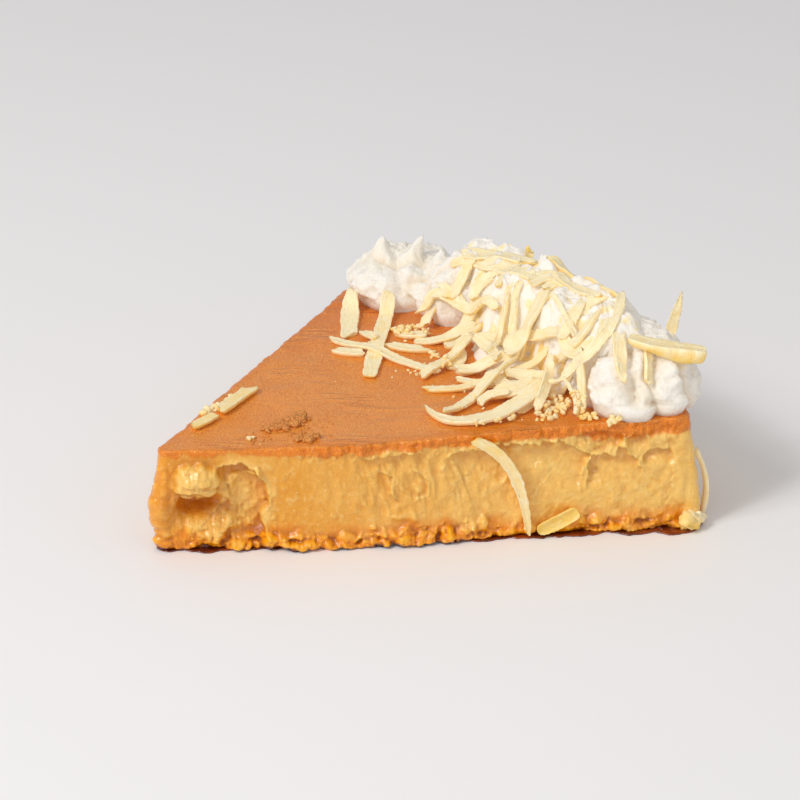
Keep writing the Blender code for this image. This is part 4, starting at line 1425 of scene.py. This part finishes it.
def soft_food(weight, depth, radius, specular, painted_glow=0.0):
    """Socket values of food that light enters: how much of it, how deep in mm, how deep each
    of its colours goes beside that, and a painted glow: light of its own that stands in for
    the light that goes through."""
    return {"Subsurface Weight": weight, "Subsurface Scale": depth * MM,
            "Subsurface Radius": radius, "Specular IOR Level": specular,
            "Emission Strength": painted_glow}


# Shades beside those of the panel, of the cut, the soaked foot, the top of the skin, its side,
# and the other pieces
CUT_BRIGHT = paint(255, 220, 140)
CUT_MOTTLED = paint(226, 140, 26)
CUT_FLECKED = paint(214, 126, 22)
CUT_GRAINS = paint(255, 228, 156)
# Painted light on the soaked foot's raised clumps, and painted shade in its hollows
FOOT_RIDGE_LIGHT = paint(255, 182, 20)
FOOT_HOLLOW_SHADE = paint(158, 70, 2)
TOP_CLOUDS = paint(234, 138, 42)
TOP_RICH = paint(230, 124, 24)
TOP_PORES = paint(202, 100, 20)
TOP_GRAINS = paint(255, 194, 116)
SIDE_FLECKS = paint(234, 136, 16)
SIDE_PORES = paint(198, 92, 0)
SIDE_GRAINS = paint(255, 186, 56)
# Painted shade in the cream's folds
CREAM_FOLD_SHADE = paint(240, 222, 192)
CHEESE_GROOVES = paint(255, 239, 202)
BROWN_GRAINS = paint(244, 176, 92)
SYRUP_THICK = paint(150, 62, 16)
# How the creases of the skin run, seen from above
CREASE_STRETCH = (5.0, 1.0, 1.0)
CREASE_TURN = math.radians(-37)


def cut_tone(made, colours, cloud, mottle, fleck, grit):
    """The cut: yellow custard, paler where it is raised, a painted light; richer and darker in
    its hollows and under the torn lump, a painted shade; and richer at its soaked foot.
    """
    hollow, ridge = made.mark("hollow") * 0.9, made.mark("ridge")
    pale = (cloud - 0.45) * 0.8 + made.mark("pale") * 0.7
    cut = made.blend(pale, colours.custard, colours.pale)
    # Painted light on the raised relief
    cut = made.blend(ridge * 0.75, cut, colours.pale)
    cut = made.blend(mottle.steps(0.50, 0.75) * 0.40, cut, CUT_BRIGHT)
    cut = made.blend(mottle.steps(0.48, 0.30) * 0.24, cut, CUT_MOTTLED)
    cut = made.blend(fleck.steps(0.44, 0.28) * 0.20, cut, CUT_FLECKED)
    cut = made.blend(grit.steps(0.60, 0.74) * 0.55, cut, CUT_GRAINS)
    # Painted shade in the hollows and under the torn lump
    cut = made.blend(hollow, cut, colours.hollow)
    # The soaked foot, with painted light on its raised clumps and painted shade in its hollows
    soaked = made.blend(ridge * 0.8, colours.foot, FOOT_RIDGE_LIGHT)
    soaked = made.blend(hollow, soaked, FOOT_HOLLOW_SHADE)
    return made.blend(made.mark("foot"), cut, soaked)


def top_tone(made, colours, cloud, grit, wet):
    """The top of the skin: dull orange with dark pores and light grains, amber where wet."""
    top = made.blend(cloud.steps(0.35, 0.7) * 0.45, colours.skin, TOP_CLOUDS)
    top = made.blend(made.mark("rich") * 0.75, top, TOP_RICH)
    top = made.blend(grit.steps(0.48, 0.34) * 0.62, top, TOP_PORES)
    top = made.blend(grit.steps(0.56, 0.72) * 0.90, top, TOP_GRAINS)
    return made.blend(wet, top, colours.amber)


def side_tone(made, colours, fleck, grit):
    """The skin where it runs down a cut: amber with dark pores and light grains."""
    side = made.blend(fleck.steps(0.35, 0.7), colours.amber, SIDE_FLECKS)
    side = made.blend(grit.steps(0.48, 0.34) * 0.5, side, SIDE_PORES)
    return made.blend(grit.steps(0.58, 0.72) * 0.7, side, SIDE_GRAINS)


def custard_finish(colours):
    """Moist custard under an amber skin, coloured by marks of the mesh and fine grain."""
    made = Finish("flan_custard", {**soft_food(0.22, 1.2, (1.0, 0.75, 0.45), 0.45),
                                   "Coat Weight": 0.30, "Coat Roughness": 0.10})
    amber, skin, wet, stain = (made.mark(name) for name in ("amber", "skin", "wet", "stain"))
    cloud = made.noise(9.0, 3.0)
    patches = made.noise(14.0, 2.0)
    mottle = made.noise(1.8, 3.0, 0.6)
    fleck = made.noise(0.6, 3.0, 0.6)
    grit = made.noise(0.42, 2.0, 0.6)
    side = made.blend(amber, cut_tone(made, colours, cloud, mottle, fleck, grit),
                      side_tone(made, colours, fleck, grit))
    tone = made.blend(skin, side, top_tone(made, colours, cloud, grit, wet))
    # Syrup along the base, and painted shade in the crevices of the foot
    tone = made.blend(stain, tone, colours.syrup)
    fold = made.noise(2.0, 1.5, 0.45, made.stretched(CREASE_STRETCH, CREASE_TURN))
    crease = fold.steps(0.32, 0.72) * patches.steps(0.47, 0.62)
    satin = skin * (1.0 - wet)
    gloss = satin * 0.24 + 0.08 + fleck * 0.08 - stain * 0.04
    layers = [
        (crease * skin, 0.60),
        (mottle * (1.0 - satin), 0.26),
        (fleck * (1.0 - satin), 0.13),
        (grit * (skin * 0.85 + amber * 0.4 + 0.15), 0.45),
    ]
    return made.wire_up(tone, gloss, layers)


def cream_finish(colours):
    """Soft white cream with a fine airy grain, and a warm painted shade in its folds."""
    # The last value is a painted glow
    made = Finish("flan_cream", soft_food(0.6, 3.0, (1.0, 0.92, 0.85), 0.3, 0.04))
    valley = made.mark("valley")
    # Painted shade: warmer and darker deep in the folds
    tone = made.blend(valley * 0.5, colours.cream, CREAM_FOLD_SHADE)
    airy = made.noise(0.5, 3.0, 0.6)
    soft = made.noise(3.0, 2.0)
    pits = made.noise(1.3, 3.0, 0.6)
    return made.wire_up(tone, airy * 0.15 + 0.42, [(soft, 0.35), (pits, 0.40), (airy, 0.26)])


def cheese_finish(colours, soft):
    """Pale cheese, grooved lengthwise, deep yellow in patches and on its underside, where the
    yellow is partly its own and partly painted shade.

    soft is the share of light that goes through it.
    """
    # The last value is a painted glow
    made = Finish("flan_cheese", soft_food(soft, 1.0, (1.0, 0.9, 0.65), 0.4, 0.08))
    under, tone = made.mark("under"), made.mark("tone")
    lines = made.node("ShaderNodeCombineXYZ", {}, {
        0: made.mark("across"), 1: made.mark("run"), 2: tone * 0.05})
    grooves = made.noise(0.5, 3.0, 0.6, lines)
    patch = made.noise(2.6, 2.0)
    grit = made.noise(0.4, 3.0, 0.6)
    frosted = made.mark("across").math("ABSOLUTE").steps(0.6 * MM, 1.3 * MM)
    # under brings in the deep yellow below each shred: partly the cheese's own colour, partly
    # painted shade
    share = under * 0.9 - 0.10 + (patch - 0.5) * 1.5 + (tone - 0.5) * 0.7 - frosted * 0.25
    pale = made.blend(grooves.steps(0.40, 0.62), colours.cheese, CHEESE_GROOVES)
    shade = made.blend(share, pale, colours.cheese_yellow_and_shade)
    return made.wire_up(shade, grit * 0.2 + 0.30, [(grooves, 0.32), (grit, 0.20)])


def bed_finish(colours):
    """Cream and cheese pressed together: white and yellow patches, and deep yellow painted shade
    in the hollows.
    """
    # The last value is a painted glow
    made = Finish("flan_cheese_bed", soft_food(0.5, 3.0, (1.0, 0.95, 0.85), 0.3, 0.08))
    patch = made.noise(4.5, 2.0, 0.5)
    fine = made.noise(0.9, 3.0, 0.6)
    tone = made.blend(patch.steps(0.54, 0.66), colours.cream, colours.cheese)
    # Painted shade: deep yellow where the relief dips
    hollow = (made.mark("relief") * -1.0 - 0.35 + (fine - 0.5) * 0.9).steps(0.0, 0.5)
    tone = made.blend(hollow * 0.75, tone, colours.cheese_yellow_and_shade)
    return made.wire_up(tone, fine * 0.2 + 0.42, [(patch, 0.5), (fine, 0.30)])


def crumb_finish(colours):
    """Burnt caramel crumbs: rough, brown with lighter grains."""
    # The emission strength is a painted glow
    made = Finish("flan_brown_crumb", {"Specular IOR Level": 0.6, "Emission Strength": 0.06})
    grit = made.noise(0.4, 3.0, 0.7)
    tone = made.blend(grit.steps(0.35, 0.7), colours.crumb, BROWN_GRAINS)
    return made.wire_up(tone, grit * 0.3 + 0.35, [(grit, 0.25)])


def syrup_finish(colours):
    """Dark, glossy syrup."""
    made = Finish("flan_syrup", {"Coat Weight": 0.6, "Coat Roughness": 0.05})
    thick = made.noise(4.0, 2.0)
    tone = made.blend(thick.steps(0.35, 0.7), colours.syrup, SYRUP_THICK)
    return made.wire_up(tone, thick * 0.08 + 0.08, [(thick, 0.12)])


# ------------------------ pieces

# Rows up the side: the share of its height up to which they lie close, how many lie there and
# how many over it; then the angles of the rows round the top edge, and the rows over the top
CLOSE_SHARE = 0.22
CLOSE_ROWS = 25
OPEN_ROWS = 55
EDGE_TURNS = np.radians([30.0, 60.0, 90.0])[:, None, None]
TOP_ROWS = 42
# How far the underside rises to its middle, clear of the syrup that lies under it
BASE_HOLLOW = 0.3
# The painted shadow under the torn lump, over the hollow there, and the pale patch beside it:
# middle and reach each way
LUMP_SHADOW_PLACE = ((9.0, 10.9), (6.0, 2.9))
PALE_PATCH = ((19.0, 12.0), (6.0, 5.0))


def slice_surface(wedge):
    """The whole wedge as one skin: rings up the side, round the top edge and over the top.

    Returns the rings and the marks that colour them.
    """
    places, outward = wedge.outline(front=470, rim=105, back=130, corner=7)
    edge = wedge.edge
    levels = np.concatenate([np.linspace(0.0, CLOSE_SHARE, CLOSE_ROWS),
                             np.linspace(CLOSE_SHARE, 1.0, OPEN_ROWS + 1)[1:]])
    height = levels[:, None] * (wedge.top_surface(places) - edge)
    spread = (len(levels), *places.shape)
    row_places, row_outward = np.broadcast_to(places, spread), np.broadcast_to(outward, spread)
    reach = wedge.detail(row_places, row_outward, height)
    side = wedge.wall(row_places, row_outward, height, reach)
    round_edge = np.concatenate([
        side[-1, :, :2] - outward * edge * (1 - np.cos(EDGE_TURNS)),
        side[-1, :, 2:] + edge * np.sin(EDGE_TURNS),
    ], axis=-1)
    scales = np.linspace(1.0, 0.0, TOP_ROWS + 2)[1:-1, None, None]
    flat = wedge.middle + (round_edge[-1][:, :2] - wedge.middle) * scales
    rings = np.concatenate([side, round_edge, raised(flat, wedge.top_surface(flat))])
    sides = side_marks(wedge, rings, reach, wedge.top_height(places), outward)
    return rings, {**sides, **top_marks(wedge, rings, len(side))}


def side_marks(wedge, rings, reach, top, outward):
    """Values that colour the wedge's side, one for every point of its rings.

    top is the height of the top over every column. amber is the caramel down the side, foot
    is the soaked base, and the dark base mark is the syrup along the bottom with painted shade
    added in the crevices between the foot's clumps. pale is where the cut is lighter. hollow and
    ridge compare reach, the relief of the side's rows, with its own blurred copy: hollow is
    painted shade in the cut's hollows, with a painted shadow under the torn lump added, and
    ridge is painted light on its raised edges.
    """
    rows = len(reach)
    on_side = np.ones(rings.shape[:2])
    on_side[rows + 1:] = 0.0
    height = rings[..., 2]
    along = (rings[..., :2] - wedge.tip) @ wedge.front_along
    radius = wedge.from_tip(rings[..., :2])
    border = amber_depth(radius) + 0.8 * rough(rings, 3.0, 101) + 0.5 * grain(rings, 0.9, 117)
    border[:rows] -= 0.6 * np.clip(reach - box_blur(reach, 9), -1.0, 1.0)
    amber = ramp_up(border - (top - height), -0.5, 0.8)
    foot = ramp_down(height - 2.4 * rough(rings, 5.0, 103), 6.6, 5.0)
    foot = np.maximum(foot, 0.45 * np.exp(-(radius / 4.2)**4)) * on_side
    relief, fine_relief = np.zeros(height.shape), np.zeros(height.shape)
    relief[:rows] = reach - box_blur(reach, 11)
    fine_relief[:rows] = reach - box_blur(reach, 3)
    # Painted shade: the cut darkens where its relief lies below the blurred relief
    hollow = np.maximum(smooth_step(-relief / 1.1), 0.7 * smooth_step(-fine_relief / 0.35 - 0.25))
    hollow = hollow * (0.45 + 0.55 * foot)
    # A painted shadow under the torn lump, added to the painted shade of the hollows
    deep = 0.9 * bump(along, height, *LUMP_SHADOW_PLACE) * smooth_step(outward @ wedge.front_out)
    low = ramp_down(height - 0.9 * rough(rings, 3.0, 105), 1.0, 0.8)
    # Painted shade in the crevices between the foot's clumps, up to about 3.6 mm high
    crevice_shade = ramp_down(height - 1.2 * rough(rings, 6.0, 115), 3.6, 2.0) * hollow**2
    return {
        "amber": amber * on_side,
        "foot": foot * (1 - amber),
        "stain": np.maximum(low, 0.4 * crevice_shade) * on_side,
        "hollow": np.clip(hollow + deep, 0, 1) * (1 - amber),
        # ridge: painted light where the relief stands above its blurred copy
        "ridge": np.maximum(smooth_step(relief / 1.0), 0.8 * smooth_step(fine_relief / 0.3)),
        "pale": np.maximum(ramp_up(along, 18.0, 66.0), 0.9 * bump(along, height, *PALE_PATCH)),
    }


def top_marks(wedge, rings, side_rows):
    """Values that colour the wedge's top, one for every point of its rings.

    skin is one on the top, rich grows towards the rim, and wet is where the top shines by
    the cream and along both cuts.
    """
    on_top = np.zeros(rings.shape[:2])
    on_top[side_rows + 1:] = 1.0
    offsets = rings[..., :2] - wedge.tip
    radius = wedge.from_tip(rings[..., :2])
    from_front = offsets @ -wedge.front_out
    near_front = ramp_down(from_front - 2.5 * rough(rings, 7.0, 107), 6.5, 3.0)
    near_front = near_front * ramp_up(offsets @ wedge.front_along, 62.0, 14.0)
    near_cream = ramp_up(radius + 6.0 * rough(rings, 9.0, 109), 90.0, 8.0)
    edge_line = ramp_down(from_front - 0.6 * grain(rings, 2.0, 111), 1.1, 0.9)
    near_back = ramp_down(offsets @ -wedge.back_out, 1.9, 1.2)
    wet = np.clip(near_front + near_cream + 0.5 * edge_line + 0.6 * near_back, 0.0, 1.0)
    rich = ramp_up(radius + 8.0 * rough(rings, 12.0, 113), 46.0, 50.0)
    return {"skin": on_top, "wet": wet * on_top, "rich": rich * on_top}


def build_slice(settings):
    """The custard and its caramel as one skin, so that their seam does not show."""
    rings, marks = slice_surface(Wedge(settings.slice))
    middle = rings[-1].mean(axis=0)
    base = np.array([middle[0], middle[1], BASE_HOLLOW])
    ends = {"stain": 1.0, "skin": 0.0}
    filled = {name: with_poles(values, ends.get(name, 0.0), values[-1].mean())
              for name, values in marks.items()}
    add_piece("custard_with_caramel", closed_surface(rings, base, middle), filled,
              custard_finish(settings.colours), "baked_custard", ("custard", "caramel_top"))


def cream_surface(settings):
    """Rings of the cream and the mark that shows its folds."""
    cream = Cream(settings.cream, Wedge(settings.slice))
    return cream.surface(straight=200, end=84, rows=76)


def build_cream(settings):
    """The piped ridge of cream."""
    rings, valley = cream_surface(settings)
    surface, kept = ridge_faces(rings)
    add_piece("piped_cream", surface, {"valley": np.append(valley, 0.0)[kept]},
              cream_finish(settings.colours), "whipped_cream", ("whipped_cream",))


def ridge_faces(rings):
    """The surface of a ridge whose last ring runs along its spine and back.

    The points of its two sides that meet on the spine become one. Returns the surface, and
    which points of the rings and of the foot's middle after them are kept.
    """
    rows, columns = rings.shape[:2]
    points = np.concatenate([rings.reshape(-1, 3), [rings[0].mean(axis=0)]])
    number = np.arange(len(points))
    first, twin = np.unique(rings[-1], axis=0, return_index=True, return_inverse=True)[1:]
    number[-1 - columns:-1] = number[-1 - columns:-1][first[twin.ravel()]]
    kept, number = np.unique(number, return_inverse=True)
    quads = number[grid_quads(rows, columns, wrap=True)]
    base = number[pole_triangles(np.arange(columns), rows * columns, flipped=True)]
    pinched = quads[:, 2] == quads[:, 3]
    triangles = np.concatenate([base, quads[pinched, :3]])
    return (points[kept], quads[~pinched], triangles), kept


def build_heap(settings, pile):
    """The heap of grated cheese: its rough core, then each strip laid on the ones before."""
    wedge = Wedge(settings.slice)
    rings, relief = bed_surface(pile, wedge)
    pile.raise_to(rings)
    middle = rings[-1].mean(axis=0)
    low = np.array([middle[0], middle[1], wedge.tip_height - 2.0])
    marks = {"relief": with_poles(relief, 0.0, relief[-1].mean())}
    add_piece("cheese_bed", closed_surface(rings, low, middle), marks,
              bed_finish(settings.colours), "grated_cheese", ("grated_cheese",))
    generator = np.random.default_rng(HEAP_SEED)
    strips = fill_shreds(pile, wedge, settings.cheese, generator)
    strips += shown_shreds(pile, HEAP_SHREDS, settings.cheese, generator)
    add_piece("heap_shreds", *join_strips(strips), cheese_finish(settings.colours, SHRED_SOFT),
              "grated_cheese", ("grated_cheese",))


# Ends and middle of the thick shred that crosses the cream and of the one that stands in it,
# which way that one faces, and the angle about the tip of the curl by the rim
THICK_SHRED = ((35.1, -47.6, 44.3), (41.4, -54.1, 42.6), (47.6, -59.6, 41.8))
STANDING_SHRED = ((51.5, -43.0, 39.6), (51.3, -45.2, 46.0), (51.2, -46.6, 51.0))
STANDING_FACES = np.array([-0.8, -0.6, 0.0])
CURL_ANGLE = math.radians(-27.6)


def build_loose(settings):
    """The seven shreds that lie apart from the heap, each in place of its own solid."""
    wedge = Wedge(settings.slice)
    generator = np.random.default_rng(HEAP_SEED + 1)
    front = np.array([*wedge.front_out, 0.0])
    rim = np.array([math.cos(CURL_ANGLE), math.sin(CURL_ANGLE), 0.0])
    # Node, path, which way its flat side faces, how deep its yellow is, and its form
    rows = (
        ("shred_tip_large", top_path(wedge, (-24.2, 14.4), (-31, 10.9), (-36.9, 8.0), 1.3), UP,
         1.2, dict(width=3.3, thickness=1.5, taper=(0.95, 0.95))),
        ("shred_tip_small", top_path(wedge, (-38.4, 7.5), (-42.2, 6.0), (-46.2, 4.9), 1.2), UP,
         1.2, dict(width=2.6, thickness=1.3, taper=(0.95, 0.85))),
        ("shred_cream_thick", arc_through(*THICK_SHRED, SHRED_SAMPLES), UP,
         0.9, dict(width=4.5, thickness=2.3, taper=(1.0, 0.9), blunt=5, growth=0.9)),
        ("shred_standing", arc_through(*STANDING_SHRED, PLAIN_SAMPLES), STANDING_FACES,
         0.5, dict(width=2.3, thickness=1.4, taper=(1.1, 0.1))),
        ("shred_front_long",
         face_path(wedge, (70.5, 25.0), (81.5, 21.0), (83.3, 0.9), 2.7, 1.2), front,
         1.2, dict(width=2.6, thickness=1.7, taper=(0.85, 0.3))),
        ("shred_front_short",
         face_path(wedge, (85.3, 1.9), (90, 3.4), (94.6, 5.9), 2.6, 1.5), front,
         2.1, dict(width=3.1, thickness=1.6, taper=(0.88, 1.0), blunt=9, dish=0.40)),
        ("shred_rim_curl", rim_path(wedge, CURL_ANGLE, 17.0, 0.9, 1.6, 1.2), rim,
         -0.6, dict(width=2.4, thickness=1.1, taper=(0.7, 0.7))),
    )
    for node, path, facing, tone, form in rows:
        strip = (*shred_mesh(path, facing, generator=generator, **form), tone)
        finish = cheese_finish(settings.colours, SHRED_SOFT)
        add_piece(node + "_looks", *join_strips([strip]), finish, "grated_cheese", (node,))


def clustered(strokes, seed):
    """Picture places and sizes of crumbs that lie close along strokes."""
    generator = np.random.default_rng(seed)
    rows = []
    for start, end, spread, count, radii in strokes:
        share = generator.uniform(0, 1, (count, 1))
        places = start + share * np.subtract(end, start)
        places = places + generator.normal(0, 1, (count, 2)) * [spread, spread * 0.6]
        rows.extend(zip(places, generator.uniform(*radii, count)))
    return rows


def on_pile(pile, rows):
    """Places and sizes of crumbs given by picture place and radius."""
    sizes = np.array([size for _, size in rows])
    heights = [pile.seen_height(u, v) for (u, v), _ in rows]
    centres = [sight(u, v, height) for ((u, v), _), height in zip(rows, heights)]
    return np.array(centres) + UP * sizes[:, None] * 0.45, sizes


def scattered(pile, wedge, count, seed, radii, degrees, sizes):
    """Random crumbs on the pile between two radii and two angles, most near the first radius."""
    generator = np.random.default_rng(seed)
    radius = radii[0] + (radii[1] - radii[0]) * generator.uniform(0, 1, count)**1.5
    flat = wedge.polar(radius, generator.uniform(*np.radians(degrees), count))
    sizes = generator.uniform(*sizes, count)
    return raised(flat, pile.height(flat) + sizes * 0.4), sizes


def build_crumbs(settings, pile):
    """Loose crumbs of cheese by the heap and on it, and burnt crumbs on the caramel."""
    wedge, colours = Wedge(settings.slice), settings.colours
    cheese = [
        on_pile(pile, [*CHEESE_CRUMBS, *clustered(CHEESE_CLUSTERS, seed=12)]),
        scattered(pile, wedge, settings.cheese.crumbs, *CHEESE_SCATTER),
        (np.array([sight(u, v, size) for (u, v), size in FLOOR_CRUMBS]),
         np.array([size for _, size in FLOOR_CRUMBS])),
    ]
    brown = [
        on_pile(pile, clustered(BROWN_CLUSTERS, seed=8)),
        scattered(pile, wedge, BROWN_COUNT, *BROWN_SCATTER),
    ]
    for name, groups, seed, finish, slot in (
            ("cheese_crumbs", cheese, 5, cheese_finish(colours, 0.0), "grated_cheese"),
            ("caramel_crumbs", brown, 6, crumb_finish(colours), "caramel_skin")):
        centres, sizes = (np.concatenate(parts) for parts in zip(*groups))
        add_piece(name, *join_strips(crumb_strips(centres, sizes, seed)), finish, slot, ())


def build_cheese(settings):
    """The heap of grated cheese, and the crumbs on it and by it."""
    pile = Pile(Wedge(settings.slice), cream_surface(settings)[0])
    build_heap(settings, pile)
    build_crumbs(settings, pile)


# The syrup's rim: how far each of its rings lies inside its border, and how high
SYRUP_INWARD = np.array([0.15, 0.0, 0.25, 0.9, 2.4])
SYRUP_HEIGHTS = np.array([0.0, 0.18, 0.32, 0.38, 0.40])


def build_syrup(settings):
    """A thin film of syrup that has run out from under the slice, uneven along its edge and
    narrow by the tip and by the rim."""
    wedge = Wedge(settings.slice)
    places, outward = wedge.outline(front=300, rim=110, back=150, corner=7)
    surface = raised(places, 0.0)
    spread = wedge.corner + 2.3 + 1.4 * rough(surface, 7.0, 131) + 0.5 * rough(surface, 2.0, 135)
    spread = spread - 3.0 * bell(wedge.from_tip(places), 14.0)
    spread = spread - 1.6 * ramp_up(places[:, 0], 38.0, 16.0)
    reach = spread - SYRUP_INWARD[:, None]
    rings = raised(places + outward * reach[..., None], SYRUP_HEIGHTS[:, None])
    middle = raised(wedge.middle, 0.0)
    surface = closed_surface(rings, middle, middle + UP * SYRUP_HEIGHTS[-1])
    add_piece("syrup_film", surface, {}, syrup_finish(settings.colours), "caramel_skin", ())


# Lamps: name and setting of their power, place, size and tint
LAMPS = (
    ("key", (-1.0, -0.02, 0.95), 0.5, (1.0, 0.98, 0.95)),
    ("core", (-0.98, -0.10, 0.95), 0.15, (1.0, 1.0, 1.0)),
    ("glint", (-0.66, -0.92, 0.52), 0.22, (1.0, 1.0, 1.0)),
    ("fill", (0.1, -1.2, 0.7), 0.6, (1.0, 1.0, 1.0)),
)
LAMP_AIM = (0.0, 0.0, 0.02)
FLOOR_HALF = 3.0
SKY_TINT = (1.0, 0.99, 0.985, 1.0)


def soft_light(name, power, place, size, tint):
    """A square area light of a size in metres that points at the slice."""
    lamp = bpy.data.lights.new(name, "AREA")
    lamp.shape = "SQUARE"
    lamp.size = size
    lamp.energy = power
    lamp.color = tint
    holder = add_object(name, lamp)
    holder.location = place
    aim = Vector(LAMP_AIM) - Vector(place)
    holder.rotation_euler = aim.to_track_quat("-Z", "Y").to_euler()


def build_stage(stage):
    """A plain floor, an even sky, a large soft key light with a bright core, a light that
    glints on the cut and a small fill."""
    mesh = bpy.data.meshes.new("plain_floor")
    corners = np.array([(-1, -1, 0), (1, -1, 0), (1, 1, 0), (-1, 1, 0)]) * FLOOR_HALF
    mesh.from_pydata(corners.tolist(), [], [(0, 1, 2, 3)])
    floor = add_object("plain_floor", mesh)
    made = Finish("plain_floor", {})
    cloudy = made.noise(400.0, 2.0)
    tone = made.blend(cloudy * 0.1, tuple(stage.floor), tuple(0.97 * part for part in stage.floor))
    mesh.materials.append(made.wire_up(tone, cloudy * 0.1 + 0.7, []))
    world = bpy.data.worlds.new("even_sky")
    world.use_nodes = True
    sky = world.node_tree.nodes["Background"].inputs
    sky["Color"].default_value = SKY_TINT
    sky["Strength"].default_value = stage.sky
    bpy.context.scene.world = world
    for name, *lamp in LAMPS:
        soft_light(name + "_light", getattr(stage, name), *lamp)
    bpy.context.scene.view_settings.view_transform = "Standard"


def build_camera():
    """A camera where VIEW_PLACE and the directions of the picture say."""
    lens = bpy.data.cameras.new("photo_camera")
    lens.sensor_width = SENSOR_WIDTH
    lens.lens = VIEW_FOCAL * SENSOR_WIDTH / VIEW_SIZE
    lens.clip_start, lens.clip_end = 0.01, 20.0
    camera = add_object("photo_camera", lens)
    columns = np.column_stack([VIEW_RIGHT, -VIEW_DOWN, -VIEW_FORWARD, VIEW_PLACE * MM])
    camera.matrix_world = Matrix([*columns.tolist(), [0.0, 0.0, 0.0, 1.0]])
    bpy.context.scene.camera = camera


def build_studio(settings):
    """The floor, the lights and the camera."""
    build_stage(settings.stage)
    build_camera()


# ------------------------ the add-on

class FlanSettings(bpy.types.PropertyGroup):
    """All the settings of the slice."""
    slice: PointerProperty(type=FlanSlice)
    cream: PointerProperty(type=FlanCream)
    cheese: PointerProperty(type=FlanCheese)
    colours: PointerProperty(type=FlanColours)
    stage: PointerProperty(type=FlanStage)


class Builder:
    """What all the operators share: each builds its part from the scene's settings."""

    def execute(self, context):
        self.build(context.scene.flan)
        return {"FINISHED"}


class FLAN_OT_slice(Builder, bpy.types.Operator):
    """Build the custard with its caramel top"""
    bl_idname = "flan.slice"
    bl_label = "Custard and Caramel"
    build = staticmethod(build_slice)


class FLAN_OT_cream(Builder, bpy.types.Operator):
    """Build the piped cream"""
    bl_idname = "flan.cream"
    bl_label = "Piped Cream"
    build = staticmethod(build_cream)


class FLAN_OT_heap(Builder, bpy.types.Operator):
    """Lay the heap of grated cheese and the crumbs on and by it"""
    bl_idname = "flan.heap"
    bl_label = "Grated Cheese and Crumbs"
    build = staticmethod(build_cheese)


class FLAN_OT_loose(Builder, bpy.types.Operator):
    """Lay the shreds that are apart from the heap"""
    bl_idname = "flan.loose"
    bl_label = "Loose Shreds"
    build = staticmethod(build_loose)


class FLAN_OT_syrup(Builder, bpy.types.Operator):
    """Pour the thin film of syrup under the slice"""
    bl_idname = "flan.syrup"
    bl_label = "Syrup"
    build = staticmethod(build_syrup)


class FLAN_OT_stage(Builder, bpy.types.Operator):
    """Set the floor, the lights and the camera"""
    bl_idname = "flan.stage"
    bl_label = "Floor, Light and Camera"
    build = staticmethod(build_studio)


OPERATORS = (FLAN_OT_slice, FLAN_OT_cream, FLAN_OT_heap, FLAN_OT_loose, FLAN_OT_syrup,
             FLAN_OT_stage)


class FLAN_PT_panel(bpy.types.Panel):
    """Sidebar panel with the settings and one button for every piece"""
    bl_label = "Cheese Flan Slice"
    bl_idname = "FLAN_PT_panel"
    bl_space_type = "VIEW_3D"
    bl_region_type = "UI"
    bl_category = "Flan"

    def draw(self, context):
        for group in ("slice", "cream", "cheese", "colours", "stage"):
            box = self.layout.box()
            settings = getattr(context.scene.flan, group)
            for name in settings.bl_rna.properties.keys():
                if name not in ("rna_type", "name"):
                    box.prop(settings, name)
        for operator in OPERATORS:
            self.layout.operator(operator.bl_idname)


CLASSES = (FlanSlice, FlanCream, FlanCheese, FlanColours, FlanStage, FlanSettings,
           *OPERATORS, FLAN_PT_panel)


def register():
    for item in CLASSES:
        bpy.utils.register_class(item)
    bpy.types.Scene.flan = PointerProperty(type=FlanSettings)


def unregister():
    del bpy.types.Scene.flan
    for item in reversed(CLASSES):
        bpy.utils.unregister_class(item)


def main():
    """Register, and build every piece in order."""
    register()
    bpy.ops.flan.slice()
    bpy.ops.flan.cream()
    bpy.ops.flan.heap()
    bpy.ops.flan.loose()
    bpy.ops.flan.syrup()
    bpy.ops.flan.stage()


if __name__ == "__main__":
    main()
